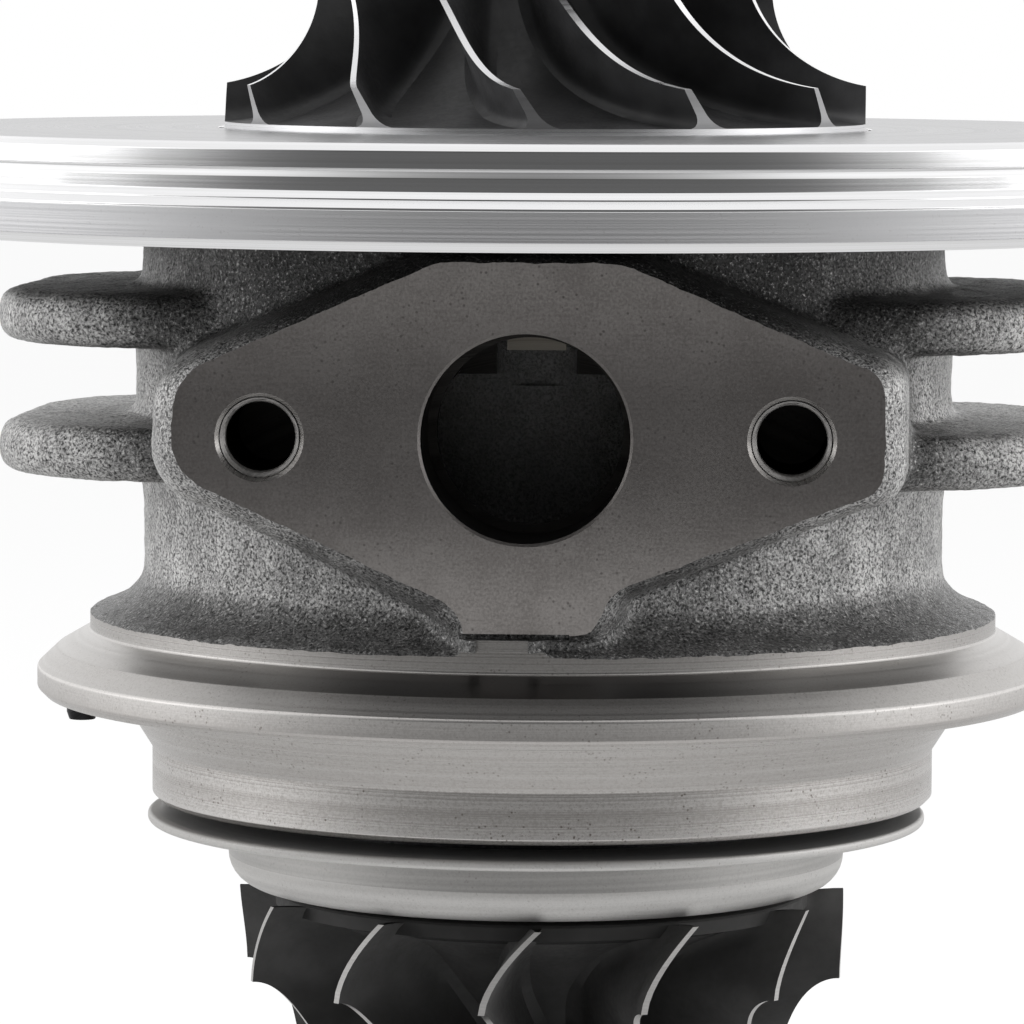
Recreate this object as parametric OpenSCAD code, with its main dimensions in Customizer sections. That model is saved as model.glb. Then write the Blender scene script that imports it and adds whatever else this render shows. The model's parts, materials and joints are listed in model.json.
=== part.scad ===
// Turbo cartridge: a bearing housing with its backplate, bearings, seals and rotor.
// Z is the shaft axis with the compressor end up, and the oil drain faces -Y.
// Z = 0 is the middle of the ground pilot that registers in the turbine housing.
// Angles named _turn or _phase are measured from -Y towards +X, in degrees.

/* [Turbine end of the housing] */
// Diameter of the ground pilot
pilot_d = 60; // [58:0.5:62]
// Height of the ground pilot
pilot_h = 3.9; // [3:0.1:5]
// Height of the cone between the pilot and the clamp seat
pilot_cone_h = 4.1; // [3:0.1:6]
// Inner diameter of the clamp seat, where the cone starts
seat_inner_d = 65.2; // [63:0.2:66]
// Outer diameter of the clamp flange
clamp_d = 77.6; // [76:0.2:82]
// Height of the clamp flange rim
clamp_rim_h = 1.5; // [1:0.1:2.5]
// Edge chamfer under the clamp flange
clamp_chamfer = 0.6; // [0.3:0.1:1]
// Height of the sloping face over the rim that the clamp pulls on
clamp_slope_h = 2.9; // [2:0.1:4]
// Diameter of the turned land over the clamp flange
land_d = 69.5; // [68:0.5:72]
// Height of the turned land
land_h = 1.3; // [0.8:0.1:3]
// Diameter of the locating pin
locating_pin_d = 2.4; // [2:0.1:3]
// Distance of the locating pin from the axis
locating_pin_r = 35.6; // [35:0.1:36.5]
// Length of the locating pin that stands out of the seat
locating_pin_out = 2.6; // [1.5:0.1:4]

/* [Cast body] */
// Diameter of the cast neck
neck_d = 61.2; // [58:0.2:64]
// Height of the casting over the turned land
cast_h = 29.5; // [28:0.5:33]
// Height of the flare between the neck and the land
flare_h = 3.4; // [2:0.1:5]
// Wall thickness round the oil cavity
cavity_wall = 5.6; // [4.5:0.1:7]
// Diameter of the bearing core inside the cavity
core_d = 22; // [20.5:0.5:24]
// Thickness of the deck over the oil cavity
deck_t = 10.65; // [10:0.05:12]
// Width of the web that carries the oil feed
feed_web_w = 9; // [7:0.5:12]

/* [Cooling fins] */
// Overall length of a fin across the body
fin_length = 82.2; // [78:0.2:88]
// Overall width of a fin, front to back
fin_width = 44; // [38:0.5:46]
// Corner radius of a fin in plan
fin_corner_r = 15; // [6:0.5:20]
// Thickness of a fin
fin_t = 4.1; // [3:0.1:5]
// Height of the lower fin over the turned land, to its middle
fin_low_rise = 13; // [10:0.1:15]
// Distance between the middles of the two fins
fin_pitch = 9.9; // [7:0.1:12]
// Turn of the fins about the shaft axis
fin_turn = -3; // [-8:1:8]
// How far the fillets of the fins thicken the neck between them
fin_root = 0.6; // [0:0.1:1]

/* [Oil drain] */
// Distance of the drain flange face from the shaft axis
drain_face_y = 34.2; // [33:0.1:36]
// Height of the drain axis over the turned land
drain_rise = 15.5; // [15:0.1:17]
// Diameter of the drain bore
drain_bore_d = 15; // [12:0.5:16]
// Depth of the machined drain bore
drain_bore_depth = 9; // [7:0.1:9]
// Spacing of the two tapped holes
drain_hole_spacing = 38; // [36:0.5:39]
// Core diameter of the tapped holes
drain_hole_d = 5; // [4:0.1:5.4]
// Depth of the tapped holes
drain_hole_depth = 12.5; // [10:0.5:14]
// Countersink diameter of the tapped holes
drain_hole_mouth_d = 6.4; // [5.6:0.1:7]
// How far the cast border spreads behind the machined face
drain_border = 1.6; // [1:0.1:2.5]

/* [Oil inlet] */
// Diameter of the inlet boss
inlet_boss_d = 19; // [17:0.5:22]
// Distance of the inlet face from the shaft axis
inlet_face_y = 36.5; // [35:0.5:39]
// Core diameter of the inlet thread
inlet_thread_d = 8.9; // [8:0.1:10.5]
// Depth of the inlet thread
inlet_thread_depth = 9; // [7:0.5:11]
// Diameter of the oil feed drilling
feed_d = 4; // [2.5:0.1:4.5]

/* [Backplate] */
// Outer diameter of the backplate flange
plate_d = 104; // [102:0.5:108]
// Diameter of the pilot over the flange that the compressor cover fits on
plate_pilot_d = 101.8; // [98:0.2:101.8]
// Thickness of the backplate
plate_t = 7.4; // [7:0.1:9]
// Height of the full-width flange at the bottom of the backplate
plate_flange_h = 2.9; // [2:0.1:3.2]
// Chamfer round the top of the backplate
plate_chamfer = 0.5; // [0.2:0.05:0.8]
// Depth of the recess under the compressor wheel
wheel_recess_depth = 0.5; // [0.4:0.05:0.8]
// Diameter of the screw circle under the wheel
plate_screw_circle_d = 42; // [41.5:0.1:42.4]
// Diameter of the backplate screws
plate_screw_d = 4; // [3:0.5:4]
// Number of backplate screws
plate_screw_count = 4; // [3:1:6]

/* [Compressor wheel] */
// Diameter over the blade tips at the outlet
comp_d = 49; // [46:0.5:49.4]
// Diameter over the blade tips at the inlet
comp_inlet_d = 34.6; // [32:0.2:37]
// Diameter of the hub at the inlet
comp_hub_d = 12; // [11:0.5:13]
// Height of the blade tip at the outlet, over the back of the wheel
comp_tip_h = 3.4; // [3:0.1:4.5]
// Height of the curved part of the shroud line
comp_curve_h = 7.6; // [6:0.1:9]
// Height of the straight part of the shroud line at the inlet
comp_inlet_h = 4.4; // [3:0.1:6]
// Thickness of the hub disc at its rim
comp_rim_t = 0.5; // [0.5:0.1:1]
// Height of the hub nose over the blade inlet edge
comp_nose_h = 3.1; // [2:0.1:5]
// Number of full blades, with one splitter after each
comp_blades = 6; // [5:1:7]
// Share of a full blade that a splitter leaves out at the inlet
comp_splitter_start = 0.22; // [0.15:0.01:0.4]
// Thickness of a blade at its tip
comp_tip_t = 0.5; // [0.4:0.05:0.8]
// Thickness of a blade at its root
comp_root_t = 1.1; // [0.9:0.05:1.5]
// Wrap of the blade over the curved part of the shroud line
comp_curve_wrap = 23.6; // [15:0.1:30]
// Further wrap of the blade over the straight inlet part
comp_inlet_wrap = 15; // [8:0.1:20]
// Lean of the blade root against its tip at the inlet
comp_inlet_lean = -7; // [-12:0.5:4]
// Lean of the blade root against its tip at the outlet
comp_outlet_lean = 4.6; // [-2:0.1:8]
// Rest angle of the first full blade at the outlet tip
comp_phase = -2.7; // [-15:0.1:15]

/* [Turbine wheel] */
// Diameter over the blade tips at the inlet
turbine_d = 46.6; // [44:0.2:48]
// Diameter over the blade tips at the outlet
turbine_outlet_d = 36.6; // [34:0.2:40]
// Height of the blade tip at the inlet
turbine_tip_h = 6.3; // [5:0.1:7]
// Height of the curved part of the shroud line
turbine_curve_h = 9; // [7:0.1:11]
// Height of the straight part of the shroud line at the outlet
turbine_outlet_h = 2; // [1:0.1:3]
// Diameter of the back disc
turbine_disc_d = 41; // [38:0.5:43]
// Thickness of the back disc where the blades start
turbine_disc_t = 0.9; // [0.7:0.05:1.4]
// Diameter of the hub at the outlet
turbine_hub_d = 12; // [11.6:0.2:14]
// Height of the hub line from the back disc to the nose
turbine_hub_h = 17; // [15:0.1:19]
// Width across the flats of the nose
turbine_nose_af = 10; // [8:0.1:10]
// Height of the nose
turbine_nose_h = 5; // [3:0.1:7]
// Number of blades
turbine_blades = 12; // [9:1:13]
// Thickness of a blade at its tip
turbine_tip_t = 0.5; // [0.5:0.05:1]
// Thickness of a blade at its root, behind the thin inlet edge
turbine_root_t = 1.4; // [1:0.05:1.6]
// Sweep of the blade along its inlet edge
turbine_inlet_sweep = 10.3; // [0:0.1:14]
// Wrap of the blade from the inlet corner to the outlet edge
turbine_outlet_wrap = 40; // [25:0.5:45]
// Rest angle of the first blade at the top of its inlet edge
turbine_phase = 1.6; // [-15:0.1:15]

/* [Heat shield] */
// Diameter over the lip of the shield
shield_d = 59.8; // [55:0.2:59.8]
// Outer diameter of the cup wall
shield_cup_d = 47.4; // [46:0.2:48]
// Depth of the cup from the top of the lip
shield_depth = 5.65; // [5:0.05:6.5]
// Sheet thickness
shield_t = 0.75; // [0.6:0.05:0.9]
// Outer radius of the bend at the bottom of the cup
shield_bend_r = 2.4; // [1.6:0.1:2.8]
// Gap between the pilot and the lip of the shield
shield_gap = 1.15; // [0.8:0.05:1.5]
// Gap between the shield and the turbine wheel
shield_wheel_gap = 0.5; // [0.4:0.05:1]

/* [Shaft and bearings] */
// Diameter of the bearing journals
shaft_d = 8; // [7:0.1:8.4]
// Diameter of the shaft through the compressor wheel
shaft_small_d = 5.6; // [5:0.1:6]
// Radial oil clearance between shaft and bearing
inner_oil_gap = 0.03; // [0.02:0.01:0.06]
// Radial oil clearance between bearing and housing
outer_oil_gap = 0.05; // [0.03:0.01:0.08]
// Wall thickness of a journal bearing
bearing_wall = 2.37; // [2.1:0.01:2.4]
// Height of a journal bearing
bearing_h = 8.4; // [6:0.1:8.6]
// Diameter of the turbine end seal hub on the shaft
seal_hub_d = 16.8; // [15:0.2:17]
// Number of oil holes in each journal bearing
bearing_holes = 6; // [4:1:8]
// Diameter of an oil hole in a journal bearing
bearing_hole_d = 1.8; // [1:0.1:2.4]

/* [Thrust parts] */
// Diameter of the thrust bearing
thrust_d = 30.6; // [29:0.1:30.6]
// Thickness of the thrust bearing
thrust_t = 3.45; // [3:0.05:3.6]
// Diameter of the thrust collar
collar_d = 19.6; // [17:0.1:19.6]
// Diameter of the oil flinger disc
flinger_d = 19.2; // [18.4:0.1:19.4]
// Diameter of the compressor end seal hub on the flinger
flinger_hub_d = 15.9; // [14.5:0.1:16.2]

/* [Nut] */
// Width across the flats of the nut
nut_af = 9; // [8:0.1:10]
// Height of the nut
nut_h = 5.6; // [4:0.1:7]
// Length of shaft that stands out of the nut
shaft_out = 2.4; // [1:0.1:4]

/* [Hidden] */
$fn = 64;

// Small clearances shared by the pieces
slip = 0.05;
seat_gap = 0.1;
run_gap = 0.3;
blind_run = 0.6;
cut = 1;

// Facets round small pieces
hole_facets = 32;
pin_facets = 24;
edge_facets = 16;

// Heights, from the pilot upwards
pilot_top = pilot_h / 2;
pilot_bottom = -pilot_h / 2;
pilot_chamfer = 0.4;
seat_z = pilot_top + pilot_cone_h;
rim_low_z = seat_z + clamp_chamfer;
rim_high_z = rim_low_z + clamp_rim_h;
land_low_z = rim_high_z + clamp_slope_h;
land_high_z = land_low_z + land_h;
body_top = land_high_z + cast_h;
drain_z = land_high_z + drain_rise;
plate_top = body_top + plate_t;
recess_z = plate_top - wheel_recess_depth;

// Cast body
neck_r = neck_d / 2;
land_r = land_d / 2;
clamp_r = clamp_d / 2;
flare_end = 70;
flare_steps = 8;
clamp_knee_share = 0.62;
clamp_knee_r = land_r + (clamp_r - land_r) * clamp_knee_share;
clamp_knee_z = rim_high_z + clamp_slope_h / 2;
cavity_r = neck_r - cavity_wall;
cavity_floor = land_low_z - 2;
cavity_top = body_top - deck_t;
core_r = core_d / 2;

// Journal bearings, from the turbine end upwards
shaft_r = shaft_d / 2;
bearing_in_r = shaft_r + inner_oil_gap;
bearing_out_r = bearing_in_r + bearing_wall;
bearing_bore_r = bearing_out_r + outer_oil_gap;
circlip_t = 1;
circlip_gap = 0.2;
circlip_margin = 1.2;
circlip_in_r = bearing_in_r + circlip_margin;
circlip_bite = 0.65;
circlip_r = bearing_bore_r + circlip_bite;
circlip_groove_r = circlip_r + slip;
circlip_opening = 4;
bore_drop = 5.75;
bore_low_z = land_low_z - bore_drop;
bearing_low_z = bore_low_z + circlip_t + 2 * circlip_gap;
bearing_high_z = cavity_top - bearing_h - circlip_gap;
circlip_z = [bearing_low_z - circlip_gap - circlip_t, bearing_low_z + bearing_h + circlip_gap,
             bearing_high_z - circlip_gap - circlip_t, bearing_high_z + bearing_h + circlip_gap];
bearing_groove_h = 2.6;
bearing_groove_depth = 0.4;

// Thrust parts, from the collar upwards
thrust_recess_depth = 5.45;
thrust_low = body_top - thrust_recess_depth;
thrust_top = thrust_low + thrust_t;
thrust_r = thrust_d / 2;
thrust_recess_r = thrust_r + 2 * seat_gap;
collar_t = 2;
collar_top = thrust_low - run_gap;
collar_low = collar_top - collar_t;
collar_r = collar_d / 2;
collar_hub_r = 6;
collar_recess_r = collar_r + 4 * run_gap;
collar_recess_z = collar_low - 3 * run_gap;
thrust_bore_r = collar_hub_r + run_gap;
deflector_t = 0.8;
deflector_top = thrust_top + deflector_t;
flinger_low = thrust_top + run_gap;
flinger_t = 1.5;
flinger_r = flinger_d / 2;
flinger_hub_r = flinger_hub_d / 2;
deflector_hole_r = flinger_r + 2 * run_gap;
oil_slot_r = 3;
oil_slot_y = thrust_r - oil_slot_r + 0.8;
tongue_w = 4.4;
tongue_t = 0.8;
tongue_drop = 6.8;
thrust_notch_w = 2 * oil_slot_r + 2 * run_gap;
thrust_pin_r = 1;
thrust_pin_x = thrust_r - 2.3;
thrust_pin_h = 5.4;
thrust_pin_low = thrust_low - 2.6;
thrust_groove_r = 0.9;
thrust_groove_turns = [60, 180, 300];

// Backplate
plate_r = plate_d / 2;
plate_pilot_r = plate_pilot_d / 2;
plate_step_h = 1.2;
plate_step_share = 0.4;
plate_edge_in = 0.5;
plate_edge_up = 0.7;
plate_groove_h = 0.6;
plate_groove_depth = 0.3;
plate_groove_drop = 1.75;
plate_groove_z = plate_top - plate_groove_drop;
plate_relief_margin = 3;
plate_relief_in = neck_r + plate_relief_margin;
plate_rim_w = 5;
plate_relief_out = plate_r - plate_rim_w;
plate_relief_depth = 2.4;
plate_spigot_r = thrust_recess_r - seat_gap;
plate_well_margin = 2;
plate_well_r = deflector_hole_r + plate_well_margin;
plate_well_gap = 1.2;
plate_well_z = flinger_low + flinger_t + plate_well_gap;
plate_bore_r = flinger_hub_r + seat_gap;
seal_ring_r = 0.8;
seal_groove_margin = 2;
seal_groove_r = thrust_recess_r + seal_groove_margin;
seal_groove_w = 2 * seal_ring_r + seat_gap;
plate_screw_r = plate_screw_d / 2;
plate_screw_head_r = 1.8 * plate_screw_r;
plate_screw_head_h = plate_screw_head_r - plate_screw_r;
plate_screw_reach = 7.4;
plate_screw_low = body_top - plate_screw_reach;
plate_screw_turn = 45;
plate_screw_socket_d = 1.2 * plate_screw_r;

// Seals
ring_h = 1.3;
ring_side_gap = 0.1;
ring_split = 0.5;
ring_deep = 1.3;
ring_inner_gap = 0.15;
ring_outer_gap = 0.01;
comp_ring_rise = 1.2;
comp_ring_low = plate_well_z + comp_ring_rise;
turbine_ring_drop = 0.2;
turbine_ring_low = pilot_bottom - turbine_ring_drop - ring_h / 2;
seal_bore_gap = 0.2;
seal_bore_r = seal_hub_d / 2 + seal_bore_gap;
seal_hub_drop = 4.4;
seal_hub_top = bore_low_z - seal_hub_drop;
seal_chamber_gap = 0.4;
seal_chamber_low = seal_hub_top + seal_chamber_gap;
seal_chamber_depth = 1.6;
seal_chamber_r = seal_bore_r + seal_chamber_depth;
shaft_cone_drop = 2.2;
shaft_cone_top = bore_low_z - shaft_cone_drop;

// Heat shield and the nose of the casting inside it
shield_top = pilot_bottom - shield_gap;
shield_bottom = shield_top - shield_depth;
shield_cup_r = shield_cup_d / 2;
shield_register_r = shield_cup_r - shield_t - seat_gap;
shield_register_low = shield_top - 1.4;
shield_hole_r = seal_bore_r + 1.9;
nose_r = seal_bore_r + 1.5;
nose_low = shield_register_low - 1.8;
shield_bend_steps = 6;

// Turbine wheel
turbine_top = shield_bottom - shield_wheel_gap;
turbine_r = turbine_d / 2;
turbine_outlet_r = turbine_outlet_d / 2;
turbine_hub_r = turbine_hub_d / 2;
turbine_corner_z = turbine_top - turbine_tip_h;
turbine_outlet_z = turbine_corner_z - turbine_curve_h - turbine_outlet_h;
turbine_hub_z = turbine_top - turbine_disc_t;
turbine_nose_z = turbine_hub_z - turbine_hub_h;
turbine_weld_z = shield_bottom + 1;
turbine_disc_sin = 1 - (turbine_disc_d / 2 - turbine_hub_r) / (turbine_r - turbine_hub_r);
turbine_disc_angle = asin(turbine_disc_sin);
turbine_straight = 0.17;
turbine_sweep_power = 1.6;
turbine_wrap_power = 1.7;
turbine_thicken_end = 0.3;
turbine_nose_chamfer = 0.4;
turbine_nose_sink = 0.5;

// Compressor wheel
comp_back = recess_z + 0.45;
comp_r = comp_d / 2;
comp_inlet_r = comp_inlet_d / 2;
comp_hub_r = comp_hub_d / 2;
comp_tip_z = comp_back + comp_tip_h;
comp_bend_z = comp_tip_z + comp_curve_h;
comp_inlet_z = comp_bend_z + comp_inlet_h;
comp_rim_z = comp_back + comp_rim_t;
comp_hub_z = comp_inlet_z + 0.6;
comp_nose_z = comp_hub_z + comp_nose_h;
comp_bore_r = shaft_small_d / 2 + slip;
comp_shroud_end = 78;
comp_hub_end = 84;
comp_straight = 0.28;
comp_root_sink = 0.3;
comp_edge_t = 0.7;
comp_edge_rate = 5;
comp_inlet_ease = 0.65;
comp_nose_slope = 0.25;
comp_recess_r = comp_r + 0.45;

// Nut and shaft end
nut_low = comp_nose_z;
nut_top = nut_low + nut_h;
nut_flange_t = 1.1;
nut_flange_r = nut_af / 2 + 1.1;
nut_flange_taper = 0.5;
nut_chamfer = 0.1;
shaft_end = nut_top + shaft_out;
shaft_tip = 0.5;

// Fin shape
fin_round = fin_t / 2;
fin_low_z = land_high_z + fin_low_rise;
fin_high_z = fin_low_z + fin_pitch;

// Locating pin
locating_pin_in = 2.3;
locating_pin_tip = 0.6;
locating_pin_taper = 0.2;

// Drain flange outline about the drain axis: across, up, corner radius
drain_foot = 14.1;
drain_outline = [[-6.3, 12.7, 3], [6.8, 12.7, 3], [25.6, 4.7, 1.8], [25.6, -3.6, 1.8],
                 [5.2, -11.4, 2], [3.7, -drain_foot, 0.2], [-3.9, -drain_foot, 0.2],
                 [-5.2, -12, 1.5], [-25.3, -2.6, 4], [-25.3, 4.4, 4]];
drain_root_y = 17;
drain_border_depth = 2.6;
drain_root_border = drain_border + 0.6;
drain_end_gap = 0.4;
drain_skin = 0.02;
drain_throat_r = drain_bore_d / 2 - 0.7;
drain_throat_y = core_r + 2;
corner_steps = 4;

// Step of the turned land left in front of the drain flange foot
ledge_left = 3.4;
ledge_right = 0.3;
ledge_top = drain_z - drain_foot - 0.25;

// Oil drillings: weep from the turbine seal, window between the bearings, feed gallery and jets
weep_tilt = 42;
weep_length = 9;
weep_r = 1.8;
weep_margin = 3;
weep_y = core_r + weep_margin;
window_r = 2.4;
window_margin = 3.4;
window_far = core_r - window_margin;
gallery_r = 1.2;
jet_r = 1;

// Blade grids
full_steps = 18;
splitter_steps = 13;
turbine_steps = 14;
height_steps = 4;
curve_steps = 16;

// Point at radius r, height z and turn a from -Y towards +X
function at(r, z, a) = [r * sin(a), -r * cos(a), z];

// Quarter-ellipse points from p to q, leaving p along the second axis
function sweep_in(p, q, end, n) =
    [for (i = [0:n]) let (a = end * i / n)
        [p[0] + (q[0] - p[0]) * (1 - cos(a)) / (1 - cos(end)),
         p[1] + (q[1] - p[1]) * sin(a) / sin(end)]];

// Corner of an outline between the points b and d, rounded by the third value of c
function flat(p) = [p[0], p[1]];
function unit(p) = p / norm(p);
function rounded(b, c, d) =
    let (u = unit(flat(b) - flat(c)),
         v = unit(flat(d) - flat(c)),
         half = acos(u * v) / 2,
         centre = flat(c) + unit(u + v) * c[2] / sin(half),
         start = flat(c) + u * c[2] / tan(half) - centre,
         from = atan2(start[1], start[0]),
         step = (180 - 2 * half) / corner_steps)
    [for (k = [0:corner_steps]) centre + c[2] * [cos(from - step * k), sin(from - step * k)]];

function outline_points(o) =
    let (n = len(o))
    [for (i = [0:n - 1]) each rounded(o[(i + n - 1) % n], o[i], o[(i + 1) % n])];

// Compressor hub line at u, as radius and height, and the direction into the hub
function comp_hub(u) =
    let (a = comp_hub_end * u)
    [comp_hub_r + (comp_r - comp_hub_r) * (1 - cos(a)) / (1 - cos(comp_hub_end)),
     comp_rim_z + (comp_hub_z - comp_rim_z) * (1 - sin(a) / sin(comp_hub_end))];
function comp_sink(u) = [-cos(comp_hub_end * u), -sin(comp_hub_end * u)];

// Compressor shroud line at u: a straight inlet, then a quarter ellipse
function comp_curve_angle(u) = comp_shroud_end * max(0, u - comp_straight) / (1 - comp_straight);
function comp_shroud(u) =
    let (a = comp_curve_angle(u), s = max(0, 1 - u / comp_straight))
    [comp_inlet_r + (comp_r - comp_inlet_r) * (1 - cos(a)) / (1 - cos(comp_shroud_end)),
     comp_tip_z + comp_curve_h * (1 - sin(a) / sin(comp_shroud_end)) + comp_inlet_h * s];

// Turn of the compressor blade at u along the shroud and v up from the root
function comp_turn(u, v) =
    let (s = max(0, 1 - u / comp_straight))
    -comp_curve_wrap * (1 - comp_curve_angle(u) / comp_shroud_end)
    - comp_inlet_wrap * (comp_inlet_ease * s + (1 - comp_inlet_ease) * s * s)
    + (comp_inlet_lean + (comp_outlet_lean - comp_inlet_lean) * u * u) * (1 - v);

// Half thickness of the compressor blade, thin at its inlet edge
function comp_half(u, v) =
    (comp_root_t + (comp_tip_t - comp_root_t) * v) / 2
    * (comp_edge_t + (1 - comp_edge_t) * min(1, comp_edge_rate * u));

function comp_point(u, v) =
    let (root = comp_hub(u) + comp_root_sink * comp_sink(u))
    root + (comp_shroud(u) - root) * v;

// Turbine hub line at u and the blade root sunk into the disc by its thickness
function turbine_hub(u) =
    [turbine_hub_r + (turbine_r - turbine_hub_r) * (1 - sin(90 * u)),
     turbine_hub_z - turbine_hub_h * (1 - cos(90 * u))];
function turbine_root(u) =
    turbine_hub(u) + turbine_disc_t * [-sin(90 * u), cos(90 * u)];

// Turbine shroud line at u: a quarter ellipse, then a straight outlet
function turbine_shroud(u) =
    let (b = 90 * min(1, u / (1 - turbine_straight)), s = max(0, (u - 1) / turbine_straight + 1))
    [turbine_outlet_r + (turbine_r - turbine_outlet_r) * (1 - sin(b)),
     turbine_corner_z - turbine_curve_h * (1 - cos(b)) - turbine_outlet_h * s];

// Turn of the turbine blade at height z: swept along the inlet edge, then wrapped to the outlet
function turbine_turn(z) =
    let (t = min(1, max(0, (turbine_top - z) / turbine_tip_h)),
         s = min(1, max(0, (turbine_corner_z - z) / (turbine_corner_z - turbine_outlet_z))))
    turbine_outlet_wrap * pow(s, turbine_wrap_power)
    - turbine_inlet_sweep * (1 - pow(1 - t, turbine_sweep_power));

function turbine_point(u, v) = turbine_root(u) + (turbine_shroud(u) - turbine_root(u)) * v;
function turbine_half(u, v) =
    (turbine_tip_t + (turbine_root_t - turbine_tip_t) * (1 - v) * min(1, u / turbine_thicken_end)) / 2;

// Triangles of the two faces and four edges of a blade on a grid of nu by nv cells
function blade_faces(nu, nv) =
    let (w = nv + 1, far = (nu + 1) * w)
    [for (i = [0:nu - 1], j = [0:nv - 1]) let (p = i * w + j)
        each [[p, p + 1, p + w], [p + 1, p + w + 1, p + w],
              [far + p, far + p + w, far + p + 1], [far + p + 1, far + p + w, far + p + w + 1]],
     for (i = [0:nu - 1], j = [0, nv]) let (p = i * w + j)
        each j == 0
            ? [[p, p + w, far + p], [p + w, far + p + w, far + p]]
            : [[p, far + p, p + w], [p + w, far + p, far + p + w]],
     for (i = [0, nu], j = [0:nv - 1]) let (p = i * w + j)
        each i == 0
            ? [[p, far + p, p + 1], [p + 1, far + p, far + p + 1]]
            : [[p, p + 1, far + p], [p + 1, far + p + 1, far + p]]];

module comp_blade(start, nu) {
    points = [for (side = [-1, 1], i = [0:nu], j = [0:height_steps])
        let (w = i / nu, u = start + (1 - start) * w, v = j / height_steps, p = comp_point(u, v))
        at(p[0], p[1], comp_turn(u, v) + side * comp_half(w, v) / p[0] * 180 / PI)];
    polyhedron(points, blade_faces(nu, height_steps));
}

module turbine_blade() {
    points = [for (side = [-1, 1], i = [0:turbine_steps], j = [0:height_steps])
        let (u = i / turbine_steps, v = j / height_steps, p = turbine_point(u, v))
        at(p[0], p[1], turbine_turn(p[1]) + side * turbine_half(u, v) / p[0] * 180 / PI)];
    polyhedron(points, blade_faces(turbine_steps, height_steps));
}

// Cylinder along -Y from the shaft axis side, with its open end at y = -far
module along_front(r, near, far) {
    translate([0, -near, 0])
        rotate([90, 0, 0])
            cylinder(h = far - near, r = r);
}

// Ring of rectangular section
module ring(inner, outer, low, high) {
    rotate_extrude()
        translate([inner, low])
            square([outer - inner, high - low]);
}

// Split ring: a ring with a straight gap on the side that turn names
module split_ring(inner, outer, low, high, gap, turn) {
    difference() {
        ring(inner, outer, low, high);
        rotate(turn)
            translate([-gap / 2, -outer - cut, low - cut])
                cube([gap, outer + cut, high - low + 2 * cut]);
    }
}

module fin_plate() {
    spread_x = fin_length / 2 - fin_corner_r;
    spread_y = fin_width / 2 - fin_corner_r;
    hull()
        for (sx = [-1, 1], sy = [-1, 1])
            translate([sx * spread_x, sy * spread_y, 0])
                rotate_extrude($fn = hole_facets)
                    intersection() {
                        union() {
                            translate([0, -fin_round])
                                square([fin_corner_r - fin_round, fin_t]);
                            translate([fin_corner_r - fin_round, 0])
                                circle(r = fin_round, $fn = edge_facets);
                        }
                        translate([0, -fin_t])
                            square([fin_corner_r + cut, 2 * fin_t]);
                    }
}

// Outline of the drain flange grown by a border, as a slab whose front is at y = -front
module drain_slab(border, front, depth) {
    translate([0, depth - front, drain_z])
        rotate([90, 0, 0])
            linear_extrude(depth)
                offset(r = border, $fn = edge_facets)
                    polygon(outline_points(drain_outline));
}

module drain_pad() {
    intersection() {
        hull() {
            drain_slab(0, drain_face_y, drain_skin);
            drain_slab(drain_border, drain_face_y - drain_border_depth, drain_skin);
            drain_slab(drain_root_border, drain_root_y, drain_skin);
        }
        translate([-clamp_d, -clamp_d, land_low_z + drain_end_gap])
            cube([2 * clamp_d, 2 * clamp_d, body_top - land_low_z - 2 * drain_end_gap]);
    }
}

module drain_ledge() {
    intersection() {
        translate([0, 0, land_low_z])
            cylinder(h = ledge_top - land_low_z, r = land_r);
        translate([-ledge_left, -land_d, land_low_z])
            cube([ledge_left + ledge_right, land_d - core_r, ledge_top - land_low_z]);
    }
}

module housing_outside() {
    rotate_extrude()
        polygon(concat(
            [[0, body_top], [neck_r, body_top], [neck_r, fin_high_z + fin_t],
             [neck_r + fin_root, fin_high_z], [neck_r + fin_root, fin_low_z], [neck_r, fin_low_z - fin_t]],
            sweep_in([neck_r, land_high_z + flare_h], [land_r, land_high_z], flare_end, flare_steps),
            [[land_r, land_low_z], [clamp_knee_r, clamp_knee_z], [clamp_r, rim_high_z],
             [clamp_r, rim_low_z], [clamp_r - clamp_chamfer, seat_z], [seat_inner_d / 2, seat_z],
             [pilot_d / 2, pilot_top], [pilot_d / 2, pilot_bottom + pilot_chamfer],
             [pilot_d / 2 - pilot_chamfer, pilot_bottom], [shield_register_r, pilot_bottom],
             [shield_register_r, shield_register_low], [nose_r, shield_register_low],
             [nose_r, nose_low], [0, nose_low]]));
}

module oil_cavity() {
    difference() {
        ring(core_r, cavity_r, cavity_floor, cavity_top);
        translate([-feed_web_w / 2, 0, cavity_floor - cut])
            cube([feed_web_w, cavity_r + cut, cavity_top - cavity_floor + 2 * cut]);
    }
}

module housing_bores() {
    translate([0, 0, nose_low - cut])
        cylinder(h = seal_chamber_low + 2 * cut - nose_low, r = seal_bore_r);
    translate([0, 0, seal_chamber_low])
        cylinder(h = bore_low_z - seal_chamber_low - seal_chamber_gap, r = seal_chamber_r);
    translate([0, 0, seal_chamber_low + cut])
        cylinder(h = body_top - seal_chamber_low, r = bearing_bore_r);
    translate([0, 0, collar_recess_z])
        cylinder(h = body_top - collar_recess_z, r = collar_recess_r);
    translate([0, 0, thrust_low])
        cylinder(h = thrust_recess_depth + cut, r = thrust_recess_r);
    for (z = circlip_z)
        translate([0, 0, z - slip])
            cylinder(h = circlip_t + 2 * slip, r = circlip_groove_r);
}

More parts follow.
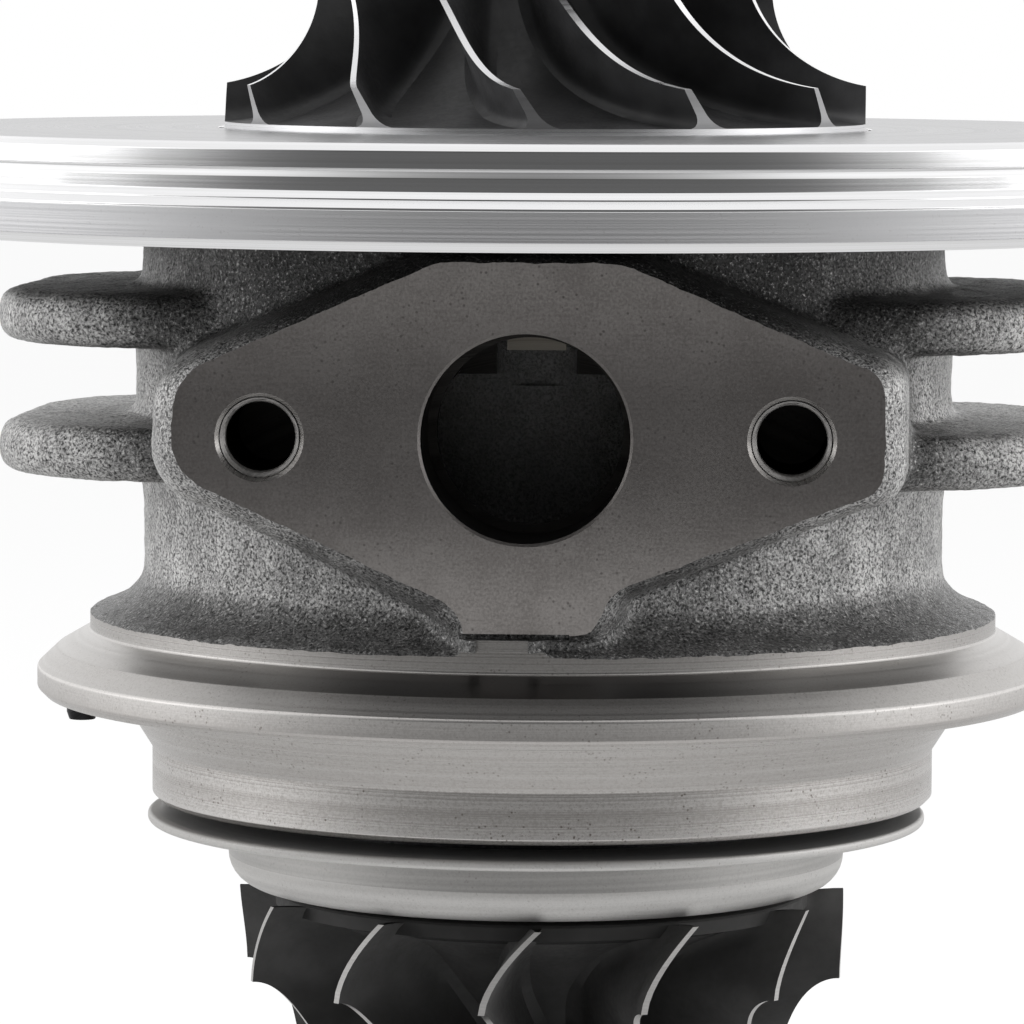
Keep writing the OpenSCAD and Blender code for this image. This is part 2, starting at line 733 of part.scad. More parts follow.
module oil_ways() {
    gallery_y = (bearing_bore_r + core_r) / 2;
    gallery_low = bearing_low_z + bearing_h / 2;
    gallery_high = bearing_high_z + bearing_h / 2;
    translate([0, 0, drain_z]) {
        along_front(drain_bore_d / 2, drain_face_y - drain_bore_depth, drain_face_y + cut);
        along_front(drain_throat_r, drain_throat_y, drain_face_y);
    }
    translate([0, -oil_slot_y, cavity_top - cut])
        cylinder(h = body_top - cavity_top + 2 * cut, r = oil_slot_r);
    translate([0, -weep_y, cavity_floor + cut])
        rotate([-weep_tilt, 0, 0])
            translate([0, 0, -weep_length])
                cylinder(h = weep_length, r = weep_r);
    translate([0, 0, (gallery_low + gallery_high) / 2])
        rotate(180)
            along_front(window_r, bearing_bore_r - cut, window_far);
    translate([0, 0, gallery_high])
        rotate(180) {
            along_front(inlet_thread_d / 2, inlet_face_y - inlet_thread_depth, inlet_face_y + cut);
            along_front(feed_d / 2, gallery_y, inlet_face_y);
        }
    translate([0, gallery_y, gallery_low])
        cylinder(h = gallery_high - gallery_low, r = gallery_r);
    for (z = [gallery_low, gallery_high])
        translate([0, 0, z])
            rotate(180)
                along_front(jet_r, bearing_bore_r - cut, gallery_y);
}

module drain_holes() {
    for (side = [-1, 1])
        translate([side * drain_hole_spacing / 2, -drain_face_y, drain_z])
            rotate([90, 0, 0]) {
                translate([0, 0, -drain_hole_depth])
                    cylinder(h = drain_hole_depth + cut, r = drain_hole_d / 2, $fn = hole_facets);
                translate([0, 0, (drain_hole_d - drain_hole_mouth_d) / 2])
                    cylinder(h = drain_hole_mouth_d - drain_hole_d, r1 = drain_hole_d / 2,
                             r2 = drain_hole_mouth_d - drain_hole_d / 2, $fn = hole_facets);
            }
}

module at_plate_screws() {
    for (i = [0:plate_screw_count - 1])
        rotate(plate_screw_turn + 360 * i / plate_screw_count)
            translate([plate_screw_circle_d / 2, 0, 0])
                children();
}

module at_thrust_pins() {
    for (side = [-1, 1])
        translate([side * thrust_pin_x, 0, thrust_pin_low])
            children();
}

module at_locating_pin() {
    translate([-locating_pin_r, 0, seat_z - locating_pin_out])
        children();
}

module bearing_housing() {
    color([0.33, 0.33, 0.34])
        difference() {
            union() {
                housing_outside();
                drain_pad();
                drain_ledge();
                for (z = [fin_low_z, fin_high_z])
                    translate([0, 0, z])
                        rotate(fin_turn)
                            intersection() {
                                fin_plate();
                                translate([-fin_length, drain_border_depth + cut - drain_face_y, -fin_t])
                                    cube([2 * fin_length, 2 * fin_length, 2 * fin_t]);
                            }
                translate([0, 0, bearing_high_z + bearing_h / 2])
                    rotate(180)
                        along_front(inlet_boss_d / 2, core_r, inlet_face_y);
            }
            oil_cavity();
            housing_bores();
            oil_ways();
            drain_holes();
            at_plate_screws()
                translate([0, 0, plate_screw_low - blind_run])
                    cylinder(h = body_top - plate_screw_low + cut, r = plate_screw_r + slip,
                             $fn = hole_facets);
            at_thrust_pins()
                translate([0, 0, -run_gap])
                    cylinder(h = thrust_pin_h, r = thrust_pin_r + slip, $fn = pin_facets);
            at_locating_pin()
                cylinder(h = locating_pin_out + locating_pin_in + 2 * seat_gap,
                         r = locating_pin_d / 2 + slip, $fn = hole_facets);
        }
}

module compressor_backplate() {
    color([0.82, 0.83, 0.84])
        difference() {
            rotate_extrude()
                polygon([
                    [plate_bore_r, recess_z], [comp_recess_r, recess_z], [comp_recess_r, plate_top],
                    [plate_pilot_r - plate_chamfer, plate_top], [plate_pilot_r, plate_top - plate_chamfer],
                    [plate_pilot_r, plate_groove_z],
                    [plate_pilot_r - plate_groove_depth, plate_groove_z - plate_groove_h / 2],
                    [plate_pilot_r, plate_groove_z - plate_groove_h],
                    [plate_pilot_r, body_top + plate_flange_h + plate_step_h],
                    [plate_pilot_r + (plate_r - plate_pilot_r) * plate_step_share,
                     body_top + plate_flange_h + plate_step_h / 2],
                    [plate_r, body_top + plate_flange_h], [plate_r, body_top + plate_edge_up],
                    [plate_r - plate_edge_in, body_top], [plate_relief_out, body_top],
                    [plate_relief_out - plate_relief_depth, body_top + plate_relief_depth],
                    [plate_relief_in, body_top + plate_relief_depth], [plate_relief_in, body_top],
                    [plate_spigot_r, body_top], [plate_spigot_r, deflector_top],
                    [plate_well_r, deflector_top], [plate_well_r, plate_well_z],
                    [plate_bore_r, plate_well_z]]);
            ring(seal_groove_r - seal_groove_w / 2, seal_groove_r + seal_groove_w / 2, body_top - cut,
                 body_top + 2 * seal_ring_r);
            at_plate_screws() {
                translate([0, 0, body_top - cut])
                    cylinder(h = plate_t + 2 * cut, r = plate_screw_r + slip, $fn = hole_facets);
                translate([0, 0, recess_z - plate_screw_head_h - slip])
                    cylinder(h = plate_screw_head_h + 2 * slip, r1 = plate_screw_r + slip,
                             r2 = plate_screw_head_r + 3 * slip, $fn = hole_facets);
            }
        }
}

module backplate_screws() {
    color([0.2, 0.2, 0.21])
        at_plate_screws()
            difference() {
                union() {
                    translate([0, 0, plate_screw_low])
                        cylinder(h = recess_z - slip - plate_screw_low, r = plate_screw_r,
                                 $fn = hole_facets);
                    translate([0, 0, recess_z - slip - plate_screw_head_h])
                        cylinder(h = plate_screw_head_h, r1 = plate_screw_r, r2 = plate_screw_head_r,
                                 $fn = hole_facets);
                }
                translate([0, 0, recess_z - plate_screw_r])
                    cylinder(h = plate_screw_d, d = plate_screw_socket_d, $fn = 6);
            }
}

module backplate_seal_ring() {
    color([0.08, 0.08, 0.08])
        rotate_extrude()
            translate([seal_groove_r, body_top + seal_ring_r])
                circle(r = seal_ring_r - slip, $fn = pin_facets);
}

module thrust_bearing() {
    color([0.72, 0.52, 0.3])
        difference() {
            ring(thrust_bore_r, thrust_r, thrust_low, thrust_top);
            translate([-thrust_notch_w / 2, -thrust_r - cut, thrust_low - cut])
                cube([thrust_notch_w, 2 * oil_slot_r + cut, thrust_t + 2 * cut]);
            at_thrust_pins()
                translate([0, 0, -run_gap])
                    cylinder(h = thrust_pin_h + 2 * run_gap, r = thrust_pin_r + slip, $fn = pin_facets);
            for (a = thrust_groove_turns)
                rotate(a)
                    translate([0, -thrust_bore_r, thrust_low - cut])
                        cylinder(h = thrust_t + 2 * cut, r = thrust_groove_r, $fn = pin_facets);
        }
}

module thrust_bearing_pins() {
    color([0.6, 0.6, 0.62])
        at_thrust_pins()
            cylinder(h = thrust_pin_h, r = thrust_pin_r, $fn = pin_facets);
}

module oil_deflector() {
    color([0.62, 0.63, 0.65]) {
        difference() {
            ring(deflector_hole_r, thrust_r, thrust_top, deflector_top);
            translate([-tongue_w / 2, -oil_slot_y - tongue_t, thrust_top - cut])
                cube([tongue_w, tongue_t, cut + deflector_t / 2]);
        }
        translate([-tongue_w / 2, -oil_slot_y - tongue_t, thrust_top - tongue_drop])
            cube([tongue_w, tongue_t, tongue_drop + deflector_t / 2]);
    }
}

module compressor_piston_ring() {
    color([0.3, 0.3, 0.31])
        split_ring(flinger_hub_r - ring_deep + ring_inner_gap, plate_bore_r - ring_outer_gap,
                   comp_ring_low, comp_ring_low + ring_h, ring_split, 90);
}

module turbine_piston_ring() {
    color([0.3, 0.3, 0.31])
        split_ring(seal_hub_d / 2 - ring_deep + ring_inner_gap, seal_bore_r - ring_outer_gap,
                   turbine_ring_low, turbine_ring_low + ring_h, ring_split, 90);
}

module bearing_circlips() {
    color([0.25, 0.25, 0.26])
        for (z = circlip_z)
            split_ring(circlip_in_r, circlip_r, z, z + circlip_t, circlip_opening, 0);
}

module heat_shield() {
    inner_bend = shield_bend_r - shield_t;
    color([0.75, 0.74, 0.71])
        rotate_extrude()
            polygon(concat(
                [[shield_hole_r, shield_bottom]],
                [for (i = [0:shield_bend_steps]) let (a = 90 * i / shield_bend_steps - 90)
                    [shield_cup_r - shield_bend_r + shield_bend_r * cos(a),
                     shield_bottom + shield_bend_r + shield_bend_r * sin(a)]],
                [[shield_cup_r, shield_top - shield_t], [shield_d / 2, shield_top - shield_t],
                 [shield_d / 2, shield_top], [shield_cup_r - shield_t, shield_top]],
                [for (i = [0:shield_bend_steps]) let (a = -90 * i / shield_bend_steps)
                    [shield_cup_r - shield_bend_r + inner_bend * cos(a),
                     shield_bottom + shield_bend_r + inner_bend * sin(a)]],
                [[shield_hole_r, shield_bottom + shield_t]]));
}

module locating_pin() {
    color([0.07, 0.07, 0.07])
        at_locating_pin() {
            cylinder(h = locating_pin_tip, r1 = locating_pin_d / 2 - locating_pin_taper,
                     r2 = locating_pin_d / 2, $fn = hole_facets);
            translate([0, 0, locating_pin_tip])
                cylinder(h = locating_pin_out + locating_pin_in - locating_pin_tip, r = locating_pin_d / 2,
                         $fn = hole_facets);
        }
}

module journal_bearing(low) {
    mid = low + bearing_h / 2;
    difference() {
        ring(bearing_in_r, bearing_out_r, low, low + bearing_h);
        ring(bearing_out_r - bearing_groove_depth, bearing_out_r + cut, mid - bearing_groove_h / 2,
             mid + bearing_groove_h / 2);
        for (i = [0:bearing_holes - 1])
            translate([0, 0, mid])
                rotate(360 * i / bearing_holes)
                    along_front(bearing_hole_d / 2, shaft_r / 2, bearing_out_r + cut);
    }
}

module compressor_journal_bearing() {
    color([0.76, 0.6, 0.32])
        journal_bearing(bearing_high_z);
}

module turbine_journal_bearing() {
    color([0.76, 0.6, 0.32])
        journal_bearing(bearing_low_z);
}

module turbine_hub_solid() {
    rotate_extrude()
        polygon(concat(
            [[0, turbine_weld_z], [seal_hub_d / 2, turbine_weld_z], [seal_hub_d / 2, turbine_top],
             [turbine_disc_d / 2, turbine_top]],
            [for (i = [0:curve_steps])
                turbine_hub((turbine_disc_angle + (90 - turbine_disc_angle) * i / curve_steps) / 90)],
            [[0, turbine_nose_z]]));
    translate([0, 0, turbine_nose_z - turbine_nose_h])
        intersection() {
            cylinder(h = turbine_nose_h + turbine_nose_sink, d = turbine_nose_af / cos(30), $fn = 6);
            cylinder(h = turbine_nose_h + turbine_nose_sink,
                     r1 = turbine_nose_af / 2 - turbine_nose_chamfer,
                     r2 = turbine_nose_af / 2 + turbine_nose_h);
        }
}

module turbine_wheel() {
    color([0.16, 0.16, 0.165]) {
        turbine_hub_solid();
        for (i = [0:turbine_blades - 1])
            rotate(turbine_phase + 360 * i / turbine_blades)
                turbine_blade();
    }
}

module rotor_shaft() {
    hub_r = seal_hub_d / 2;
    groove_r = hub_r - ring_deep;
    small_r = shaft_small_d / 2;
    color([0.7, 0.7, 0.72])
        rotate_extrude()
            polygon([
                [0, turbine_weld_z], [hub_r, turbine_weld_z], [hub_r, turbine_ring_low - ring_side_gap],
                [groove_r, turbine_ring_low - ring_side_gap],
                [groove_r, turbine_ring_low + ring_h + ring_side_gap],
                [hub_r, turbine_ring_low + ring_h + ring_side_gap], [hub_r, seal_hub_top],
                [shaft_r, shaft_cone_top], [shaft_r, collar_low], [small_r, collar_low],
                [small_r, shaft_end - shaft_tip], [small_r - shaft_tip, shaft_end], [0, shaft_end]]);
}

module thrust_collar() {
    color([0.66, 0.66, 0.68])
        rotate_extrude()
            polygon([[comp_bore_r, collar_low], [collar_r, collar_low], [collar_r, collar_top],
                     [collar_hub_r, collar_top], [collar_hub_r, flinger_low], [comp_bore_r, flinger_low]]);
}

module oil_flinger() {
    groove_r = flinger_hub_r - ring_deep;
    color([0.66, 0.66, 0.68])
        rotate_extrude()
            polygon([[comp_bore_r, flinger_low], [flinger_r, flinger_low],
                     [flinger_r, flinger_low + flinger_t], [flinger_hub_r, flinger_low + flinger_t],
                     [flinger_hub_r, comp_ring_low - ring_side_gap],
                     [groove_r, comp_ring_low - ring_side_gap],
                     [groove_r, comp_ring_low + ring_h + ring_side_gap],
                     [flinger_hub_r, comp_ring_low + ring_h + ring_side_gap],
                     [flinger_hub_r, comp_back], [comp_bore_r, comp_back]]);
}

module compressor_hub_solid() {
    rotate_extrude()
        polygon(concat(
            [[comp_bore_r, comp_nose_z], [comp_hub_r - comp_nose_slope * comp_nose_h, comp_nose_z]],
            [for (i = [0:curve_steps]) comp_hub(i / curve_steps) - [slip, 0]],
            [[comp_r - slip, comp_back], [comp_bore_r, comp_back]]));
}

module compressor_wheel() {
    pitch = 360 / comp_blades;
    color([0.12, 0.12, 0.125]) {
        compressor_hub_solid();
        for (i = [0:comp_blades - 1])
            rotate(comp_phase + pitch * i) {
                comp_blade(0, full_steps);
                rotate(pitch / 2)
                    comp_blade(comp_splitter_start, splitter_steps);
            }
    }
}

module compressor_nut() {
    color([0.7, 0.7, 0.71])
        difference() {
            union() {
                intersection() {
                    translate([0, 0, nut_low])
                        cylinder(h = nut_h, d = nut_af / cos(30), $fn = 6);
                    translate([0, 0, nut_low - cut])
                        cylinder(h = nut_h + cut, r1 = nut_af / 2 + nut_h + cut - nut_chamfer,
                                 r2 = nut_af / 2 - nut_chamfer);
                }
                translate([0, 0, nut_low])
                    cylinder(h = nut_flange_t, r1 = nut_flange_r, r2 = nut_flange_r - nut_flange_taper);
            }
            translate([0, 0, nut_low - cut])
                cylinder(h = nut_h + 2 * cut, r = comp_bore_r);
        }
}

bearing_housing();
compressor_backplate();
backplate_screws();
backplate_seal_ring();
thrust_bearing();
thrust_bearing_pins();
oil_deflector();
compressor_piston_ring();
turbine_piston_ring();
bearing_circlips();
heat_shield();
locating_pin();
compressor_journal_bearing();
turbine_journal_bearing();
turbine_wheel();
rotor_shaft();
thrust_collar();
oil_flinger();
compressor_wheel();
compressor_nut();
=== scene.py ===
"""Looks of the turbo cartridge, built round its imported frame.

The frame is in metres. Sizes below are millimetres, and MM turns them into metres.
Z is the shaft axis with the compressor end up, and the oil drain faces -Y.
"""
import json
import math

import bmesh
import bpy
import numpy as np
from mathutils import Matrix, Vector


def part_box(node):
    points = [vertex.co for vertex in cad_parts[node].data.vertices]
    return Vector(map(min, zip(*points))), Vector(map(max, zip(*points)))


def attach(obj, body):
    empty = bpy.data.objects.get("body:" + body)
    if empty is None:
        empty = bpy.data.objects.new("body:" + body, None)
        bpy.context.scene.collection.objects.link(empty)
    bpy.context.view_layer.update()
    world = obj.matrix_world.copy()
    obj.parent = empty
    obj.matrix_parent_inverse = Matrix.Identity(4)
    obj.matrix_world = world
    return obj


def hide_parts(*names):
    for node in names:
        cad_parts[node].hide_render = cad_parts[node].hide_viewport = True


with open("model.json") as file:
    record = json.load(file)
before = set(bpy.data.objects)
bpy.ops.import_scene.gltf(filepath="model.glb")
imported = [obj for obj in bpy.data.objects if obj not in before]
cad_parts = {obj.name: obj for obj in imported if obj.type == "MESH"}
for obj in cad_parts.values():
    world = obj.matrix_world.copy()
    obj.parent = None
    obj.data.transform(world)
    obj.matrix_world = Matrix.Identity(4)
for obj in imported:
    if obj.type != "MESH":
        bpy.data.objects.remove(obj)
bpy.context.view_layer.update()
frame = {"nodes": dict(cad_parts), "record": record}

MM = 0.001
TURN_STEPS = 256  # points in one turn
HOLD = 0.03  # distance of the point beside an arc's end


def limits(node):
    """Lowest and highest corner of a frame node, in millimetres."""
    low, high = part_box(node)
    return np.array(low) / MM, np.array(high) / MM


def mount(name):
    """A mount of the record: its place in millimetres and its dimensions."""
    entry = next(m for m in frame["record"]["mounts"] if m["name"] == name)
    return np.array(entry["pos_m"]) / MM, entry["dims"]


# Sizes read from the frame
HOUSING_LOW, HOUSING_HIGH = limits("bearing_housing")
PLATE_LOW, PLATE_HIGH = limits("compressor_backplate")
COMP_LOW, COMP_HIGH = limits("compressor_wheel")
TURBINE_LOW, TURBINE_HIGH = limits("turbine_wheel")
SHIELD_LOW, SHIELD_HIGH = limits("heat_shield")
NUT_LOW, NUT_HIGH = limits("compressor_nut")
SHAFT_LOW, SHAFT_HIGH = limits("rotor_shaft")
PIN_LOW, PIN_HIGH = limits("locating_pin")
BUSH_HIGH = limits("compressor_journal_bearing")[1]
COLLAR_LOW, COLLAR_HIGH = limits("thrust_collar")
DRAIN, DRAIN_DIMS = mount("oil_drain_port")
DRAIN_FACE = mount("oil_drain_face")[0]
DRAIN_BOLTS = mount("oil_drain_bolts")[1]
INLET, INLET_DIMS = mount("oil_inlet_port")
PILOT_R = mount("turbine_pilot")[1]["r_mm"]
PLATE_PILOT_R = mount("compressor_pilot")[1]["r_mm"]
SEAT_Z = mount("turbine_seat")[0][2]
BODY_TOP = HOUSING_HIGH[2]

# Turned land under the casting, and the clamp flange
LAND_R = 34.75
LAND_LOW = SEAT_Z + 5.0
LAND_HIGH = LAND_LOW + 1.3
LAND_SPLIT = LAND_HIGH - 0.3
CLAMP_R = 38.8


# Mesh tools

def cells(rows, cols, wrap_rows=False, wrap_cols=False):
    """Corner numbers of every cell of a grid, joining each point to its next row and column."""
    i, j = np.meshgrid(np.arange(rows if wrap_rows else rows - 1),
                       np.arange(cols if wrap_cols else cols - 1), indexing="ij")
    k, m = (i + 1) % rows, (j + 1) % cols
    return np.stack([i * cols + j, k * cols + j, k * cols + m, i * cols + m], -1).reshape(-1, 4)


def sheet(grid, slot=0, wrap_rows=False, wrap_cols=False):
    """A grid of points with its cells and the material slot that each cell takes."""
    faces = cells(grid.shape[0], grid.shape[1], wrap_rows, wrap_cols)
    return grid.reshape(-1, 3), faces, np.broadcast_to(slot, len(faces))


def outward(mesh):
    """Merges the doubled points of a mesh and turns its faces outwards."""
    work = bmesh.new()
    work.from_mesh(mesh)
    bmesh.ops.remove_doubles(work, verts=work.verts, dist=1e-7)
    bmesh.ops.recalc_face_normals(work, faces=work.faces)
    work.to_mesh(mesh)
    work.free()


def piece(name, sheets, materials, crease=32):
    """One object from several sheets of points in millimetres, smooth but for edges over crease."""
    counts = [len(s[0]) for s in sheets]
    starts = np.cumsum([0] + counts[:-1])
    points = np.concatenate([s[0] for s in sheets]) * MM
    faces = np.concatenate([s[1] + start for s, start in zip(sheets, starts)])
    slots = np.concatenate([s[2] for s in sheets]).astype(np.int32)
    mesh = bpy.data.meshes.new(name)
    mesh.vertices.add(len(points))
    mesh.vertices.foreach_set("co", points.ravel())
    mesh.loops.add(faces.size)
    mesh.loops.foreach_set("vertex_index", faces.ravel().astype(np.int32))
    mesh.polygons.add(len(faces))
    mesh.polygons.foreach_set("loop_start", np.arange(0, faces.size, 4, dtype=np.int32))
    for material in materials:
        mesh.materials.append(material)
    mesh.polygons.foreach_set("material_index", slots)
    mesh.update(calc_edges=True)
    outward(mesh)
    mesh.shade_smooth()
    mesh.set_sharp_from_angle(angle=math.radians(crease))
    obj = bpy.data.objects.new(name, mesh)
    bpy.context.scene.collection.objects.link(obj)
    return obj


def eased(corners, steps=5):
    """Closed outline from rows of across, up and corner radius: each corner becomes an arc that is
    tangent to its two sides, with a point close beside each end so that the sides shade flat."""
    corners = np.asarray(corners, float)
    p, r = corners[:, :2], corners[:, 2]
    back, ahead = np.roll(p, 1, 0) - p, np.roll(p, -1, 0) - p
    back /= np.linalg.norm(back, axis=1, keepdims=True)
    ahead /= np.linalg.norm(ahead, axis=1, keepdims=True)
    half = np.arccos(np.clip((back * ahead).sum(1), -1, 1)) / 2
    middle = back + ahead
    middle /= np.linalg.norm(middle, axis=1, keepdims=True)
    centre = p + middle * (r / np.sin(half))[:, None]
    first = p + back * (r / np.tan(half))[:, None] - centre
    last = p + ahead * (r / np.tan(half))[:, None] - centre
    start = np.arctan2(first[:, 1], first[:, 0])
    swing = (np.arctan2(last[:, 1], last[:, 0]) - start + np.pi) % (2 * np.pi) - np.pi
    angle = start[:, None] + swing[:, None] * np.linspace(0, 1, steps + 1)
    arc = centre[:, None] + r[:, None, None] * np.stack([np.cos(angle), np.sin(angle)], -1)
    arc = np.concatenate([arc[:, :1] + HOLD * back[:, None], arc, arc[:, -1:] + HOLD * ahead[:, None]], 1)
    return arc.reshape(-1, 2)


def polar(r, z, turn):
    """Points at radius r and height z, turned from -Y towards +X by turn degrees."""
    a = np.radians(turn)
    return np.stack(np.broadcast_arrays(r * np.sin(a), -r * np.cos(a), z), -1)


def turned(profile, slot=0, steps=TURN_STEPS):
    """A closed profile of radius and height carried once round the shaft axis."""
    turn = np.linspace(0, 360, steps, endpoint=False)
    grid = polar(profile[:, :1], profile[:, 1:], turn[None, :])
    return sheet(grid, slot, wrap_rows=True, wrap_cols=True)


# Material tools

class Shader:
    """A node tree with short calls to add, set and link nodes."""

    def __init__(self, tree):
        self.tree = tree

    def node(self, kind, **values):
        """Adds a node and sets its properties."""
        node = self.tree.nodes.new(kind)
        for key, value in values.items():
            setattr(node, key, value)
        return node

    def link(self, out, into):
        """Links an output to a socket."""
        self.tree.links.new(out, into)

    def place(self, value, socket):
        """Links an output to a socket, or sets the socket to a plain value."""
        if isinstance(value, bpy.types.NodeSocket):
            self.link(value, socket)
        else:
            socket.default_value = value

    def math(self, operation, first, second=0.0):
        """One sum of two values."""
        node = self.node("ShaderNodeMath", operation=operation)
        self.place(first, node.inputs[0])
        self.place(second, node.inputs[1])
        return node.outputs[0]

    def joined(self, operation, first, *others):
        """Joins several values one after another by the same sum."""
        for other in others:
            first = self.math(operation, first, other)
        return first

    def mix(self, factor, first, second):
        """Goes from the first colour to the second by factor."""
        node = self.node("ShaderNodeMix", data_type="RGBA")
        self.place(factor, node.inputs["Factor"])
        self.place(first, node.inputs["A"])
        self.place(second, node.inputs["B"])
        return node.outputs["Result"]

    def span(self, value, low, high, to_low=0.0, to_high=1.0):
        """Carries a value smoothly from one range to another."""
        node = self.node("ShaderNodeMapRange", interpolation_type="SMOOTHSTEP")
        for key, item in zip(("Value", "From Min", "From Max", "To Min", "To Max"),
                             (value, low, high, to_low, to_high)):
            self.place(item, node.inputs[key])
        return node.outputs["Result"]

    def noise(self, vector, scale, detail=2.0, rough=0.5, dims="3D", warp=0.0):
        """Noise over a place, or along a single value where dims is 1D."""
        node = self.node("ShaderNodeTexNoise", noise_dimensions=dims)
        self.place(vector, node.inputs["W" if dims == "1D" else "Vector"])
        node.inputs["Scale"].default_value = scale
        node.inputs["Detail"].default_value = detail
        node.inputs["Roughness"].default_value = rough
        node.inputs["Distortion"].default_value = warp
        return node.outputs["Fac"]

    def millimetres(self):
        """Object coordinates in millimetres."""
        where = self.node("ShaderNodeTexCoord").outputs["Object"]
        node = self.node("ShaderNodeVectorMath", operation="SCALE")
        self.link(where, node.inputs[0])
        node.inputs["Scale"].default_value = 1 / MM
        return node.outputs["Vector"]

    def axes(self):
        """The three object coordinates in millimetres, one by one."""
        split = self.node("ShaderNodeSeparateXYZ")
        self.link(self.millimetres(), split.inputs[0])
        return split.outputs

    def blend(self, share, first, second, output):
        """Mixes two shader nodes by share and shows the result at the named output node."""
        node = self.node("ShaderNodeMixShader")
        for value, socket in zip((share, first.outputs[0], second.outputs[0]), node.inputs):
            self.link(value, socket)
        self.link(node.outputs[0], self.tree.nodes[output].inputs["Surface"])

    def group(self, tree, **values):
        """Adds a shared effect with its inputs set."""
        node = self.node("ShaderNodeGroup", node_tree=tree)
        for key, value in values.items():
            self.place(value, node.inputs[key])
        return node.outputs


def effect(name, inputs, outputs, build):
    """A shared node group with plain numbers as inputs and outputs, filled in by build."""
    tree = bpy.data.node_groups.new(name, "ShaderNodeTree")
    for key, value in inputs.items():
        socket = tree.interface.new_socket(key, in_out="INPUT", socket_type="NodeSocketFloat")
        socket.default_value = value
    for key in outputs:
        tree.interface.new_socket(key, in_out="OUTPUT", socket_type="NodeSocketFloat")
    shader = Shader(tree)
    given = shader.node("NodeGroupInput").outputs
    results = build(shader, given)
    into = shader.node("NodeGroupOutput").inputs
    for key, value in results.items():
        shader.link(value, into[key])
    return tree


def lathe_marks(s, given):
    """Rings left by a tool point: noise along the radius plus a share of the height, at the given
    pitch, and a broad band of tone that changes slowly across the rings."""
    x, y, z = s.axes()
    flat = s.math("ADD", s.math("MULTIPLY", x, x), s.math("MULTIPLY", y, y))
    along = s.math("ADD", s.math("SQRT", flat), s.math("MULTIPLY", z, 1.37))
    fine = s.noise(s.math("DIVIDE", along, given["Pitch"]), 1.0, 3.0, 0.6, "1D")
    band = s.noise(along, 0.55, 2.0, 0.5, "1D")
    return {"Height": fine, "Band": band}


def cast_grain(s, given):
    """Shot-blasted casting: fine warped noise at the given grain size, slow noise over a few
    millimetres, and small flecks where the fine noise peaks."""
    where = s.millimetres()
    size = s.node("ShaderNodeVectorMath", operation="SCALE")
    s.link(where, size.inputs[0])
    s.link(s.math("DIVIDE", 1.0, given["Grain"]), size.inputs["Scale"])
    fine = s.noise(size.outputs[0], 1.0, 4.0, 0.62, warp=0.5)
    coarse = s.noise(where, 0.3, 3.0, 0.55)
    return {"Height": fine, "Coarse": coarse, "Flecks": s.span(fine, 0.58, 0.7)}


def small_pits(s, given):
    """Dark pits: the cores of a cell pattern at the given spacing, kept in patches by noise."""
    where = s.millimetres()
    cell = s.node("ShaderNodeTexVoronoi")
    s.link(where, cell.inputs["Vector"])
    s.link(s.math("DIVIDE", 1.0, given["Spacing"]), cell.inputs["Scale"])
    patch = s.span(s.noise(where, 0.4, 2.0, 0.5), 0.48, 0.62)
    pits = s.span(cell.outputs["Distance"], 0.28, 0.1)
    return {"Pits": s.math("MULTIPLY", pits, patch)}


LATHE = effect("lathe_marks", {"Pitch": 0.16}, ["Height", "Band"], lathe_marks)
GRAIN = effect("cast_grain", {"Grain": 0.3}, ["Height", "Coarse", "Flecks"], cast_grain)
PITS = effect("small_pits", {"Spacing": 0.6}, ["Pits"], small_pits)


def material(name, metallic, anisotropy=0.0):
    """A new material: its shader calls and its Principled node."""
    made = bpy.data.materials.new(name)
    made.use_nodes = True
    s = Shader(made.node_tree)
    bsdf = made.node_tree.nodes["Principled BSDF"]
    bsdf.inputs["Metallic"].default_value = metallic
    if anisotropy:
        bsdf.inputs["Anisotropic"].default_value = anisotropy
        bsdf.inputs["Anisotropic Rotation"].default_value = 0.25
        tangent = s.node("ShaderNodeTangent", direction_type="RADIAL", axis="Z")
        s.link(tangent.outputs[0], bsdf.inputs["Tangent"])
    return made, s, bsdf


def rough_bump(s, bsdf, height, strength, depth_mm):
    """Feeds a height in millimetres of depth to the shader's normal."""
    bump = s.node("ShaderNodeBump")
    bump.inputs["Strength"].default_value = strength
    bump.inputs["Distance"].default_value = depth_mm * MM
    s.link(height, bump.inputs["Height"])
    s.link(bump.outputs[0], bsdf.inputs["Normal"])


